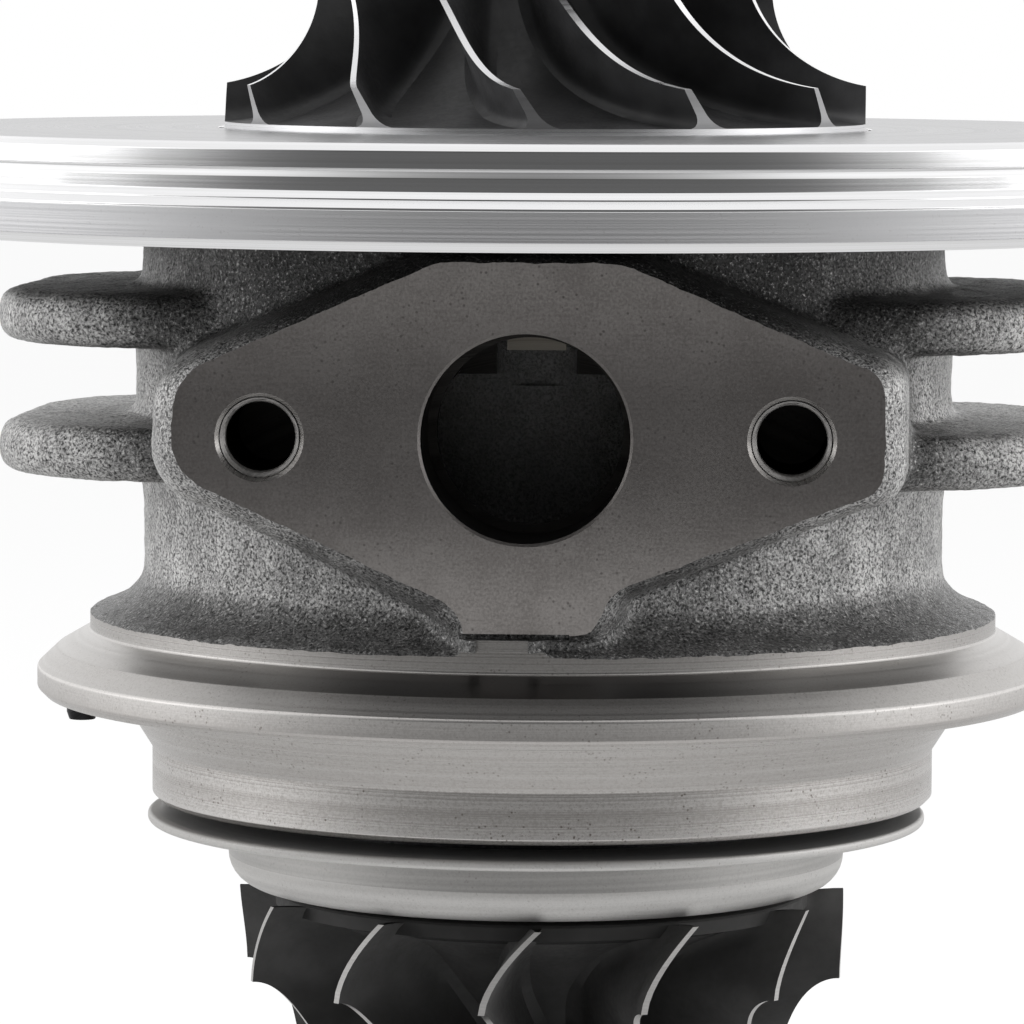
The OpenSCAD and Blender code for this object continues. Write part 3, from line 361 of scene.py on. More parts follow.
def turned_metal(name, dark, light, rough, marks_mm, pitch=0.16, anisotropy=0.0, pits=0.0, speckle=0.0,
                 edge=1.0, painted_reflection=0.0):
    """Turned metal: tone and roughness follow the tool marks, with pits and a fine speckle with dark
    nicks where they are asked for. edge is how bright it stays at a glancing angle, and the painted
    reflection share is how far a dark reflection is painted into its colour in front, near the middle."""
    made, s, bsdf = material(name, 1.0, anisotropy)
    bsdf.inputs["Specular Tint"].default_value = (edge, edge, edge, 1)
    marks = s.group(LATHE, Pitch=pitch)
    height = marks["Height"]
    tone = s.math("ADD", s.math("MULTIPLY", height, 0.5), s.math("MULTIPLY", marks["Band"], 0.5))
    shade = (0.3 * dark[0], 0.26 * dark[1], 0.23 * dark[2], 1)
    nicks = None
    if speckle:
        grain = s.group(GRAIN, Grain=0.22)
        rise = s.math("SUBTRACT", grain["Height"], 0.5)
        tone = s.math("ADD", tone, s.math("MULTIPLY", rise, speckle))
        height = s.math("MULTIPLY", s.math("ADD", height, grain["Height"]), 0.5)
        nicks = s.math("MULTIPLY", grain["Flecks"], 0.5 * min(speckle, 1.0))
    colour = s.mix(s.span(tone, 0.3, 0.7), (*dark, 1), (*light, 1))
    if nicks:
        colour = s.mix(nicks, colour, shade)
    if pits:
        spots = s.group(PITS, Spacing=0.42)
        colour = s.mix(s.math("MULTIPLY", spots["Pits"], pits), colour, shade)
    # painted reflection: near the middle in front the colour goes toward near black, standing in for dark
    # surroundings mirrored there
    if painted_reflection:
        share = s.span(s.math("ABSOLUTE", s.axes()["X"]), 9.0, 24.0, painted_reflection, 0.0)
        colour = s.mix(share, colour, (0.06, 0.058, 0.057, 1))
    s.link(colour, bsdf.inputs["Base Color"])
    s.link(s.span(marks["Height"], 0.3, 0.75, rough * 0.85, rough * 1.2), bsdf.inputs["Roughness"])
    rough_bump(s, bsdf, height, 0.35, marks_mm)
    return made


def cast_skin(name, dark, light, hollow, relief_mm, metallic=0.9, painted_shade=0.0):
    """Shot-blasted iron: metal whose fine grain is relief, darker in its hollows and bright on its
    peaks. Where painted shade is asked for, it is painted in the flare of the neck, under the plate,
    in the corner above the drain pad and toward the fin roots, and faintly over the front."""
    made, s, bsdf = material(name, metallic)
    grain = s.group(GRAIN, Grain=0.22)
    base = s.mix(s.span(grain["Coarse"], 0.35, 0.68), (*dark, 1), (*light, 1))
    base = s.mix(s.span(grain["Height"], 0.32, 0.62), (*hollow, 1), base)
    # painted shade: the colour goes toward the hollow tone in the flare, under the plate, in the corner
    # above the drain pad, toward the fin roots and faintly over the front
    if painted_shade:
        x, y, z = s.axes()
        beside = s.math("ABSOLUTE", x)
        low = s.span(z, LAND_HIGH + 2.0, LAND_HIGH + 3.8, painted_shade, 0.0)
        high = s.span(z, BODY_TOP - 5.5, BODY_TOP - 1.5, 0.0, painted_shade)
        corner = s.math("MULTIPLY", s.span(z, DRAIN[2] + 5.5, DRAIN[2] + 9.0, 0.0, 0.85),
                        s.span(beside, 19.0, 28.0, 1.0, 0.0))
        root = s.joined("MULTIPLY", s.span(beside, 27.0, 34.5, 0.68, 0.0), s.span(y, -25.0, -23.0),
                        s.span(y, -17.0, -12.0, 1.0, 0.0), s.span(z, DRAIN[2] - 5.0, DRAIN[2] - 3.5))
        front_shade = s.span(beside, 14.0, 27.0, 0.35, 0.0)
        base = s.mix(s.joined("MAXIMUM", low, high, corner, root, front_shade), base, (*hollow, 1))
    s.link(s.mix(s.math("MULTIPLY", grain["Flecks"], 0.8), base, (*light, 1)), bsdf.inputs["Base Color"])
    s.link(s.span(grain["Coarse"], 0.3, 0.7, 0.36, 0.46), bsdf.inputs["Roughness"])
    rough_bump(s, bsdf, grain["Height"], 1.0, relief_mm)
    return made


def milled_face():
    """Flat milled iron: a fine speckle, faint straight cutter marks, small pits and stains, darker
    at the height of the drain's middle."""
    made, s, bsdf = material("milled_iron", 1.0)
    where = s.millimetres()
    stretch = s.node("ShaderNodeVectorMath", operation="MULTIPLY")
    s.link(where, stretch.inputs[0])
    stretch.inputs[1].default_value = (0.2, 1.0, 4.5)
    lines = s.noise(stretch.outputs[0], 1.0, 3.0, 0.6)
    stains = s.noise(where, 0.2, 3.0, 0.55)
    grain = s.group(GRAIN, Grain=0.2)["Height"]
    spots = s.group(PITS, Spacing=0.5)
    tone = s.joined("ADD", s.math("MULTIPLY", lines, 0.1), s.math("MULTIPLY", stains, 0.4),
                    s.math("MULTIPLY", grain, 0.5))
    colour = s.mix(s.span(tone, 0.36, 0.64), (0.42, 0.392, 0.375, 1), (0.6, 0.568, 0.548, 1))
    colour = s.mix(s.math("MULTIPLY", spots["Pits"], 0.5), colour, (0.12, 0.108, 0.1, 1))
    off = s.math("ABSOLUTE", s.math("SUBTRACT", s.axes()["Z"], float(DRAIN[2])))
    colour = s.mix(s.span(off, 2.0, 13.0, 0.64, 0.0), colour, (0.1, 0.094, 0.092, 1))
    s.link(colour, bsdf.inputs["Base Color"])
    s.link(s.span(grain, 0.3, 0.7, 0.38, 0.48), bsdf.inputs["Roughness"])
    rough_bump(s, bsdf, grain, 0.3, 0.03)
    return made


def wheel_skin(name, dark, light, rough, shine):
    """Dark cast wheel surface, satin, with a little mottling."""
    made, s, bsdf = material(name, 0.0)
    bsdf.inputs["Specular IOR Level"].default_value = shine
    grain = s.group(GRAIN, Grain=0.5)
    s.link(s.mix(s.span(grain["Coarse"], 0.35, 0.7), (*dark, 1), (*light, 1)), bsdf.inputs["Base Color"])
    s.link(s.span(grain["Height"], 0.3, 0.7, rough * 0.9, rough * 1.15), bsdf.inputs["Roughness"])
    rough_bump(s, bsdf, grain["Height"], 0.25, 0.05)
    return made


def rubber():
    """Matt black seal rubber with a fine grain."""
    made, s, bsdf = material("seal_rubber", 0.0)
    grain = s.group(GRAIN, Grain=0.2)
    s.link(s.mix(grain["Coarse"], (0.01, 0.01, 0.01, 1), (0.02, 0.02, 0.02, 1)), bsdf.inputs["Base Color"])
    bsdf.inputs["Roughness"].default_value = 0.7
    rough_bump(s, bsdf, grain["Height"], 0.3, 0.03)
    return made


# Finishes of the casting and its turned end
# The casting's skin carries painted shade in its flare, under the plate, by the drain pad, at the fin roots
# and over its front.
CAST = cast_skin("cast_iron_skin", (0.4, 0.396, 0.391), (0.62, 0.614, 0.606), (0.022, 0.0218, 0.0216),
                 0.12, metallic=0.8, painted_shade=0.62)
INSIDE = cast_skin("oil_cavity_skin", (0.5, 0.5, 0.5), (0.62, 0.62, 0.62), (0.3, 0.3, 0.3),
                   0.3, metallic=0.2)
# Near-black skin for the gap under the pilot and the faces below it: painted shade.
GAP_SHADE = cast_skin("painted_gap_shade", (0.08, 0.078, 0.08), (0.12, 0.118, 0.12), (0.05, 0.05, 0.052), 0.02)
MILLED = milled_face()
TURNED_IRON = turned_metal("turned_iron", (0.4, 0.382, 0.366), (0.52, 0.504, 0.488), 0.3, 0.008,
                           pits=0.5, speckle=0.8)
# The clamp cone and its knee carry a painted dark reflection in front, strongest on the cone.
CONE_IRON = turned_metal("clamp_cone_iron", (0.42, 0.403, 0.388), (0.54, 0.525, 0.51), 0.34, 0.006,
                         pits=0.3, speckle=0.6, painted_reflection=0.85)
KNEE_IRON = turned_metal("clamp_knee_iron", (0.42, 0.403, 0.388), (0.54, 0.525, 0.51), 0.38, 0.006,
                         pits=0.3, speckle=0.9, painted_reflection=0.4)
SATIN_IRON = turned_metal("satin_iron", (0.5, 0.48, 0.463), (0.66, 0.641, 0.623), 0.36, 0.008,
                          pits=0.6, speckle=0.9)
GROUND_IRON = turned_metal("ground_iron", (0.42, 0.4, 0.383), (0.6, 0.582, 0.566), 0.3, 0.01,
                           pitch=0.2, anisotropy=0.2, pits=0.9, speckle=1.2)
THREAD_IRON = turned_metal("thread_iron", (0.4, 0.39, 0.38), (0.6, 0.585, 0.57), 0.5, 0.01,
                           pits=0.4, speckle=0.8)
# Near-black metal deep in the bores and holes: painted shade.
BORE_SHADE = turned_metal("bore_iron_painted_shade", (0.03, 0.028, 0.027), (0.06, 0.057, 0.054), 0.42, 0.02,
                     anisotropy=0.6, pits=0.4)

# Finishes of the backplate, the shield and the small parts
ALUMINIUM = turned_metal("turned_aluminium", (0.8, 0.8, 0.8), (0.92, 0.92, 0.93), 0.1, 0.0003,
                         pitch=0.25, anisotropy=0.3)
SATIN = turned_metal("satin_aluminium", (0.66, 0.66, 0.67), (0.72, 0.72, 0.73), 0.56, 0.001,
                     pitch=0.25, speckle=0.3)
FACED = turned_metal("faced_aluminium", (0.56, 0.56, 0.57), (0.66, 0.66, 0.67), 0.3, 0.004,
                     pitch=0.25, anisotropy=0.2, edge=0.7)
# Near-black underside of the plate: painted shade under the plate, which the neck below also mirrors.
UNDERSIDE_SHADE = turned_metal("painted_shade_underside", (0.12, 0.12, 0.12), (0.17, 0.17, 0.17), 0.5, 0.01, pitch=0.25)
# The same pressed sheet, darker on the cup's upright wall: painted shade.
SHIELD_WALL_SHADE = turned_metal("pressed_wall_painted_shade", (0.37, 0.363, 0.353), (0.47, 0.461, 0.45), 0.4, 0.003,
                           pitch=0.6, pits=0.2, speckle=0.6)
SHIELD = turned_metal("pressed_shield", (0.54, 0.532, 0.52), (0.66, 0.65, 0.637), 0.6, 0.003,
                      pitch=0.6, pits=0.2, speckle=0.6)
STEEL = turned_metal("ground_steel", (0.5, 0.5, 0.51), (0.66, 0.66, 0.67), 0.26, 0.01, anisotropy=0.6)
PASSIVATED = turned_metal("yellow_steel", (0.3, 0.275, 0.235), (0.42, 0.39, 0.34), 0.36, 0.01)
BRONZE = turned_metal("bearing_bronze", (0.5, 0.32, 0.14), (0.66, 0.46, 0.22), 0.34, 0.012, anisotropy=0.6)
BLACK_STEEL = turned_metal("black_steel", (0.02, 0.02, 0.021), (0.04, 0.04, 0.042), 0.45, 0.01)
RUBBER = rubber()

# Finishes of the wheels
TIPS = turned_metal("turned_tips", (0.76, 0.76, 0.77), (0.84, 0.84, 0.85), 0.3, 0.002, pitch=0.3)
OUTLET_EDGE = turned_metal("outlet_edges", (0.36, 0.36, 0.365), (0.44, 0.44, 0.445), 0.4, 0.004, pitch=0.3)
TURBINE_TIPS = turned_metal("ground_tips", (0.44, 0.43, 0.42), (0.54, 0.53, 0.52), 0.36, 0.006, pitch=0.2)
COMP_SKIN = wheel_skin("dark_wheel_skin", (0.02, 0.02, 0.0207), (0.033, 0.033, 0.034), 0.45, 0.28)
TURBINE_SKIN = wheel_skin("turbine_skin", (0.044, 0.0433, 0.0427), (0.06, 0.0592, 0.0585), 0.6, 0.35)
# Near-black hub skin by the disc rim, under the shield: painted shade.
TURBINE_RIM_SHADE = wheel_skin("turbine_rim_painted_shade", (0.026, 0.0256, 0.0253), (0.032, 0.0316, 0.0312), 0.7, 0.1)

# Solids of the frame that are shown as they are
NODE_FINISH = {
    "backplate_screws": BLACK_STEEL, "backplate_seal_ring": RUBBER, "thrust_bearing": BRONZE,
    "thrust_bearing_pins": STEEL, "oil_deflector": PASSIVATED, "compressor_piston_ring": TURNED_IRON,
    "turbine_piston_ring": TURNED_IRON, "bearing_circlips": BLACK_STEEL,
    "compressor_journal_bearing": BRONZE, "turbine_journal_bearing": BRONZE,
    "thrust_collar": STEEL, "oil_flinger": STEEL,
}
for node_name, finish in NODE_FINISH.items():
    for slot in frame["nodes"][node_name].material_slots:
        slot.material = finish


# Bladed wheels

BLADE_ROWS = 40  # points along a full blade
SIDE_ROWS = 12  # points up each face of a blade
COMP = dict(blades=6, splitter=0.22, r=COMP_HIGH[0], inlet_r=17.3, hub_r=6.0, tip_h=3.4, curve_h=7.6,
            inlet_h=4.4, rim_t=0.5, hub_rise=0.6, straight=0.28, tip_t=0.56, root_t=1.1, curve_wrap=23.6,
            inlet_wrap=15.0, inlet_lean=-7.0, outlet_lean=4.6, phase=-2.7, sink=0.3, fillet=1.1)
TURBINE = dict(blades=12, r=23.3, outlet_r=18.3, tip_h=6.3, curve_h=9.0, outlet_h=2.0, disc_r=20.5,
               disc_t=0.9, hub_r=6.0, hub_h=17.0, straight=0.17, tip_t=0.5, root_t=1.4, thicken=0.3,
               sweep=10.3, wrap=40.0, phase=1.6, fillet=0.9, nose_af=10.0, nose_h=5.0, seal_r=8.4)
HUB_END = math.radians(84)
SHROUD_END = math.radians(78)


def fillet_rise(height, radius):
    """Extra half thickness of a blade at a height over its hub: a quarter circle of that radius."""
    d = np.clip(radius - height, 0, radius)
    return radius - np.sqrt(radius ** 2 - d ** 2)


def blade_sheets(centre, half, count, phase, rows, cut_start, cut_end):
    """All blades of a set as closed shells. centre gives radius, height and turn, and half the half
    thickness, at u along and v up the blade. Each shell goes up one face, over the tip and down the
    other, and its two ends are closed by strips. cut_start and cut_end are the ends' slots."""
    u = np.linspace(0, 1, rows)[:, None]
    v = np.concatenate([np.linspace(0, 1, SIDE_ROWS) ** 1.5, np.linspace(1, 0, SIDE_ROWS) ** 1.5])[None, :]
    side = np.repeat([-1.0, 1.0], SIDE_ROWS)[None, :]
    r, z, turn = centre(u, v)
    turn = turn + np.degrees(side * half(u, v) / r)
    slot = np.zeros((rows - 1, 2 * SIDE_ROWS - 1), int)
    slot[:, SIDE_ROWS - 1] = 1
    sheets = []
    for k in range(count):
        grid = polar(r, z, turn + phase + 360 * k / count)
        sheets.append(sheet(grid, slot.ravel()))
        for row, end in ((0, cut_start), (-1, cut_end)):
            strip = np.stack([grid[row, :SIDE_ROWS], grid[row, :SIDE_ROWS - 1:-1]], 1)
            sheets.append(sheet(strip, end))
    return sheets


def compressor_hub(a):
    """Radius and height of the compressor's hub line, part of an ellipse, at angle a from its inlet."""
    c = COMP
    rim_z = COMP_LOW[2] + c["rim_t"]
    hub_z = COMP_LOW[2] + c["tip_h"] + c["curve_h"] + c["inlet_h"] + c["hub_rise"]
    return (c["hub_r"] + (c["r"] - c["hub_r"]) * (1 - np.cos(a)) / (1 - np.cos(HUB_END)),
            rim_z + (hub_z - rim_z) * (1 - np.sin(a) / np.sin(HUB_END)))


def compressor_blades(start, phase):
    """One set of compressor blades from start to the outlet. The hub and shroud lines are parts of
    ellipses with a straight inlet on the shroud, and the blade turns with the shroud angle and leans
    with the square of its place."""
    c = COMP
    tip_z = COMP_LOW[2] + c["tip_h"]

    def hub(u):
        a = HUB_END * u
        r, z = compressor_hub(a)
        return r - c["sink"] * np.cos(a), z - c["sink"] * np.sin(a)

    def shroud(u):
        a = SHROUD_END * np.maximum(0, u - c["straight"]) / (1 - c["straight"])
        s = np.maximum(0, 1 - u / c["straight"])
        return (c["inlet_r"] + (c["r"] - c["inlet_r"]) * (1 - np.cos(a)) / (1 - np.cos(SHROUD_END)),
                tip_z + c["curve_h"] * (1 - np.sin(a) / np.sin(SHROUD_END)) + c["inlet_h"] * s, a, s)

    def centre(w, v):
        u = start + (1 - start) * w
        r0, z0 = hub(u)
        r1, z1, a, s = shroud(u)
        turn = (-c["curve_wrap"] * (1 - a / SHROUD_END) - c["inlet_wrap"] * (0.65 * s + 0.35 * s * s)
                + (c["inlet_lean"] + (c["outlet_lean"] - c["inlet_lean"]) * u * u) * (1 - v))
        return r0 + (r1 - r0) * v, z0 + (z1 - z0) * v, turn

    def half(w, v):
        u = start + (1 - start) * w
        r0, z0 = hub(u)
        r1, z1 = shroud(u)[:2]
        height = np.hypot(r1 - r0, z1 - z0) * v - c["sink"]
        edge = 0.35 + 0.65 * np.sqrt(np.clip(1 - (1 - np.clip(w * 12, 0, 1)) ** 2, 0, 1))
        return (c["root_t"] + (c["tip_t"] - c["root_t"]) * v) / 2 * edge + fillet_rise(height, c["fillet"])

    rows = int(BLADE_ROWS * (1 - start)) + 2
    return blade_sheets(centre, half, c["blades"], phase, rows, 0, 2)


def compressor_wheel():
    """Hub turned from the hub line, full blades and splitters."""
    c = COMP
    back, nose = COMP_LOW[2], COMP_HIGH[2]
    line = np.stack(compressor_hub(np.linspace(0, HUB_END, 48)), 1)
    bore, taper = 2.85, 0.25
    nose_r = c["hub_r"] - taper * (nose - line[0, 1])
    outline = np.concatenate([[[bore, nose], [nose_r - 0.2, nose], [nose_r, nose - 0.2]], line,
                              [[c["r"], back + 0.04], [c["r"] - 0.06, back], [bore, back]]])
    ring_slot = np.zeros(len(outline), int)
    ring_slot[:2] = 1
    ring_slot[-4:] = 1
    sheets = [turned(outline, np.repeat(ring_slot, TURN_STEPS))]
    pitch = 360 / c["blades"]
    sheets += compressor_blades(0.0, c["phase"])
    sheets += compressor_blades(c["splitter"], c["phase"] + pitch / 2)
    obj = piece("compressor_wheel_cast", sheets, [COMP_SKIN, TIPS, OUTLET_EDGE], 40)
    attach(obj, "rotor")
    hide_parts("compressor_wheel")


def turbine_wheel():
    """Hub turned from the hub line, hexagon nose and blades whose turn depends on height alone:
    swept along the inlet edge, then wrapped to the outlet."""
    t = TURBINE
    top = SHIELD_LOW[2] - 0.5
    corner = top - t["tip_h"]
    outlet = corner - t["curve_h"] - t["outlet_h"]
    hub_z = top - t["disc_t"]
    nose_z = hub_z - t["hub_h"]

    def hub(u):
        b = np.pi / 2 * u
        return t["hub_r"] + (t["r"] - t["hub_r"]) * (1 - np.sin(b)), hub_z - t["hub_h"] * (1 - np.cos(b))

    def root(u):
        b = np.pi / 2 * u
        r, z = hub(u)
        return r - t["disc_t"] * np.sin(b), z + t["disc_t"] * np.cos(b)

    def shroud(u):
        b = np.pi / 2 * np.minimum(1, u / (1 - t["straight"]))
        s = np.maximum(0, (u - 1) / t["straight"] + 1)
        return (t["outlet_r"] + (t["r"] - t["outlet_r"]) * (1 - np.sin(b)),
                corner - t["curve_h"] * (1 - np.cos(b)) - t["outlet_h"] * s)

    def centre(u, v):
        r0, z0 = root(u)
        r1, z1 = shroud(u)
        r, z = r0 + (r1 - r0) * v, z0 + (z1 - z0) * v
        inlet = np.clip((top - z) / t["tip_h"], 0, 1)
        rest = np.clip((corner - z) / (corner - outlet), 0, 1)
        return r, z, -t["sweep"] * (1 - (1 - inlet) ** 1.6) + t["wrap"] * rest ** 1.7

    def half(u, v):
        r0, z0 = root(u)
        r1, z1 = shroud(u)
        height = np.hypot(r1 - r0, z1 - z0) * v - t["disc_t"]
        inside = np.clip((t["disc_r"] - (r0 + (r1 - r0) * v)) / 1.5, 0, 1)
        root_share = (1 - v) * np.minimum(1, u / t["thicken"])
        return ((t["tip_t"] + (t["root_t"] - t["tip_t"]) * root_share) / 2
                + inside * fillet_rise(np.maximum(height, 0), t["fillet"]))

    u = np.linspace(0, 1, 80)
    r, z = hub(u)
    keep = r < t["disc_r"]
    start_z = np.interp(-t["disc_r"], -r, z)
    line = np.concatenate([[[t["disc_r"], start_z]], np.stack([r[keep], z[keep]], 1)])
    weld = TURBINE_HIGH[2]
    outline = np.concatenate([[[0, weld], [t["seal_r"], weld], [t["seal_r"] + 0.4, top],
                               [t["disc_r"] - 0.15, top], [t["disc_r"], top - 0.15]], line, [[0, nose_z]]])
    turn = np.linspace(0, 360, TURN_STEPS, endpoint=False)
    # slot 2 puts painted shade on the hub near the disc rim
    shade = np.where(outline[:-1, 0] > t["disc_r"] - 2.5, 2, 0)
    grid = polar(outline[:, :1], outline[:, 1:], turn[None, :])
    sheets = [sheet(grid, np.repeat(shade, TURN_STEPS), wrap_cols=True)]
    sheets.append(hexagon_bar(t["nose_af"], nose_z + 0.5, nose_z - t["nose_h"], 0.35))
    sheets += blade_sheets(centre, half, t["blades"], t["phase"], BLADE_ROWS, 1, 1)
    obj = piece("turbine_wheel_cast", sheets, [TURBINE_SKIN, TURBINE_TIPS, TURBINE_RIM_SHADE], 40)
    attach(obj, "rotor")
    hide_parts("turbine_wheel")


def hexagon_bar(flats, start, end, chamfer):
    """Hexagon bar from start to end with its end corners chamfered: the radius at each turn is the
    hexagon's, cut down near the end by a cone."""
    turn = np.linspace(0, 360, 96, endpoint=False)
    corner = np.radians((turn + 30) % 60 - 30)
    across = flats / 2 / np.cos(corner)
    way = np.sign(end - start)
    z = np.array([start, end - 1.2 * way, end - 0.8 * way, end - 0.4 * way, end, end])
    cone = flats / 2 - chamfer + np.abs(end - z) * 1.6
    r = np.minimum(across[None, :], cone[:, None])
    r[-1] = 0
    return sheet(polar(r, z[:, None], turn[None, :]), wrap_cols=True)


# Turned pieces

def backplate():
    """Turned disc: recess for the wheel, stepped rim with a groove, relieved underside. The rim and the
    top have finishes of their own, and the underside has painted shade."""
    top, low = PLATE_HIGH[2], BODY_TOP
    recess, outer, pilot = top - 0.5, PLATE_HIGH[0], PLATE_PILOT_R
    wheel_r = COMP_HIGH[0] + 0.45
    step = low + 2.9
    groove, shelf = top - 1.75, pilot + 0.4
    outline = eased([
        [8.05, recess, 0.1], [wheel_r, recess, 0.05], [wheel_r, top, 0.06],
        [pilot - 0.5, top, 0.12], [pilot, top - 0.5, 0.12], [pilot, groove, 0.03],
        [pilot - 0.27, groove, 0.03], [pilot, groove - 0.6, 0.05], [pilot, step + 1.2, 0.06],
        [shelf, step + 0.72, 0.03], [shelf, step + 0.62, 0.03], [outer - 0.06, step + 0.1, 0.04],
        [outer - 0.06, step - 0.05, 0.02], [outer, step - 0.09, 0.02], [outer, low + 0.7, 0.12],
        [outer - 0.5, low, 0.1], [outer - 5, low, 0.1], [outer - 7.4, low + 2.4, 0.8],
        [33.6, low + 2.4, 0.8], [33.6, low, 0.1], [15.4, low, 0.05], [15.4, PLATE_LOW[2], 0.1],
        [12.2, PLATE_LOW[2], 0.1], [12.2, low + 1.0, 0.2], [8.05, low + 1.0, 0.1]], 4)
    after = np.roll(outline, -1, 0)
    finish = np.zeros(len(outline), int)
    finish[np.minimum(outline[:, 0], after[:, 0]) > outer - 0.03] = 1
    finish[np.minimum(outline[:, 1], after[:, 1]) > top - 0.01] = 2
    # finish 3: painted shade on the underside
    finish[(np.maximum(outline[:, 1], after[:, 1]) < low + 2.5) & (outline[:, 0] < outer - 0.6)] = 3
    sheets = [turned(outline, np.repeat(finish, TURN_STEPS))]
    obj = piece("backplate_turned", sheets, [ALUMINIUM, SATIN, FACED, UNDERSIDE_SHADE])
    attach(obj, "housing")
    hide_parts("compressor_backplate")


SHIELD_SHIFT = -0.45  # how far the shield lies off the axis


def heat_shield():
    """Pressed sheet cup with a flat lip and a rounded bottom, resting a little to the left."""
    top, low, t = SHIELD_HIGH[2], SHIELD_LOW[2], 0.75
    lip, cup, hole, bend = SHIELD_HIGH[0], 23.7, 10.5, 2.4
    outline = eased([
        [hole, low, 0.1], [cup, low, bend], [cup, top - t, 0.25], [lip, top - t, 0.3],
        [lip, top, 0.3], [cup - t, top, 0.5], [cup - t, low + t, bend - t], [hole, low + t, 0.1]], 8)
    # the upright wall takes the darker copy of the sheet: painted shade
    wall = (outline[:, 1] > low + bend) & (outline[:, 1] < top - t - 0.1)
    points, faces, slot = turned(outline, np.repeat(wall, TURN_STEPS))
    obj = piece("heat_shield_pressed", [(points + [SHIELD_SHIFT, 0, 0], faces, slot)], [SHIELD, SHIELD_WALL_SHADE])
    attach(obj, "housing")
    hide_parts("heat_shield")


def clamp_flange():
    """Turned end of the housing: sloping clamp face, rim, seat, cone, pilot and nose, each with the
    finish of its place, and painted shade on the faces in the gap under the pilot and below it."""
    seat = SEAT_Z
    rim = seat + 0.6
    outline = eased([
        [27.0, LAND_SPLIT, 0], [LAND_R, LAND_SPLIT, 0], [LAND_R, LAND_LOW, 0.25],
        [LAND_R + 2.51, rim + 2.95, 0.4], [CLAMP_R, rim + 1.5, 0.35], [CLAMP_R, rim, 0.3],
        [CLAMP_R - 0.6, seat, 0.15], [32.6, seat, 0.15], [PILOT_R, 1.95, 0.3],
        [PILOT_R, -1.55, 0.1], [PILOT_R - 0.4, -1.95, 0.1], [22.85, -1.95, 0.1],
        [22.85, -4.5, 0.2], [10.1, -4.5, 0.1], [10.1, HOUSING_LOW[2], 0.2], [8.6, HOUSING_LOW[2], 0.1],
        [8.6, LAND_LOW - 4, 0.1], [27.0, LAND_LOW - 4, 0.1]], 5)
    r, z = ((outline + np.roll(outline, -1, 0)) / 2).T
    finish = np.zeros(len(outline), int)
    finish[r > CLAMP_R - 0.1] = 1
    finish[(r > LAND_R + 0.2) & (z > rim + 1.6)] = 5
    finish[(r > LAND_R + 0.2) & (z > rim + 2.95)] = 4
    finish[(z < 1.95) & (r > PILOT_R - 0.5)] = 2
    # slot 3: painted shade on the faces under the pilot
    finish[(z < -1.9) & (r < PILOT_R - 0.45)] = 3
    sheets = [turned(outline, np.repeat(finish, TURN_STEPS))]
    obj = piece("clamp_flange_turned", sheets,
                [TURNED_IRON, SATIN_IRON, GROUND_IRON, GAP_SHADE, CONE_IRON, KNEE_IRON])
    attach(obj, "housing")


def locating_pin():
    """Black dowel with a tapered end, standing under the clamp seat."""
    r = (PIN_HIGH[0] - PIN_LOW[0]) / 2
    x = (PIN_HIGH[0] + PIN_LOW[0]) / 2
    outline = eased([[0, PIN_LOW[2], 0], [r - 0.2, PIN_LOW[2], 0.1], [r, PIN_LOW[2] + 0.6, 0.2],
                     [r, PIN_HIGH[2], 0.05], [0, PIN_HIGH[2], 0]], 4)
    points, faces, slot = turned(outline, steps=48)
    obj = piece("locating_pin_black", [(points + [x, 0, 0], faces, slot)], [BLACK_STEEL])
    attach(obj, "housing")
    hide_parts("locating_pin")


# Cast housing

VOXEL = 0.42  # grid on which the blanks run together
SMOOTH_PASSES = 16
THREAD_OUT_R = 2.9
NECK_R = 30.6
REACH = 60  # how far cutters go, well past the casting
FIN = dict(length=81.8, width=44.0, corner=15.0, thick=4.1, low_z=LAND_HIGH + 13, pitch=9.9, turn=-3.0,
           root=0.6, blunt=0.6)
TAPPED = dict(mouth_r=3.2, depth=12.5)
OIL = dict(inner_r=11.0, outer_r=25.0, low_z=LAND_LOW + 1.5, roof_z=BODY_TOP - 10.65, slot_r=3.0,
           slot_y=-13.1, well_r=15.5, well_z=BODY_TOP - 5.45)
DRAIN_OUTLINE = [[-6.3, 12.7, 3], [6.8, 12.7, 3], [25.6, 4.7, 1.8], [25.6, -3.6, 1.8],
                 [6.2, -11.0, 2], [4.8, -14.1, 0.2], [-3.9, -14.1, 0.2],
                 [-5.2, -12.0, 1.5], [-25.3, -2.6, 4], [-25.3, 4.4, 4]]


def neck_blank():
    """Cast neck with its flare, a little over size where it is turned afterwards."""
    a = np.radians(np.linspace(0, 70, 12))
    flare_h = 3.4
    reach = LAND_R + 0.3
    flare = np.stack([NECK_R + (reach - NECK_R) * (1 - np.cos(a)) / (1 - math.cos(a[-1])),
                      LAND_HIGH + flare_h * (1 - np.sin(a) / math.sin(a[-1]))], 1)
    low, high = FIN["low_z"], FIN["low_z"] + FIN["pitch"]
    root = NECK_R + FIN["root"]
    outline = np.concatenate([[[6.45, BODY_TOP + 1], [NECK_R, BODY_TOP + 1], [NECK_R, high + FIN["thick"]],
                               [root, high], [root, low], [NECK_R, low - FIN["thick"]]], flare,
                              [[reach, LAND_LOW - 1.5], [6.45, LAND_LOW - 1.5]]])
    return turned(outline, steps=192)


def block(low, high):
    """Box between two corners: a square ring carried up, closed to its middle at both ends."""
    low, high = np.array(low, float), np.array(high, float)
    plan = np.array([[low[0], low[1]], [high[0], low[1]], [high[0], high[1]], [low[0], high[1]]])
    middle = np.broadcast_to(plan.mean(0), plan.shape)
    rings = np.stack([middle, plan, plan, middle])
    height = np.array([low[2], low[2], high[2], high[2]])[:, None, None]
    grid = np.concatenate([rings, np.broadcast_to(height, (4, 4, 1))], -1)
    return sheet(grid, wrap_cols=True)


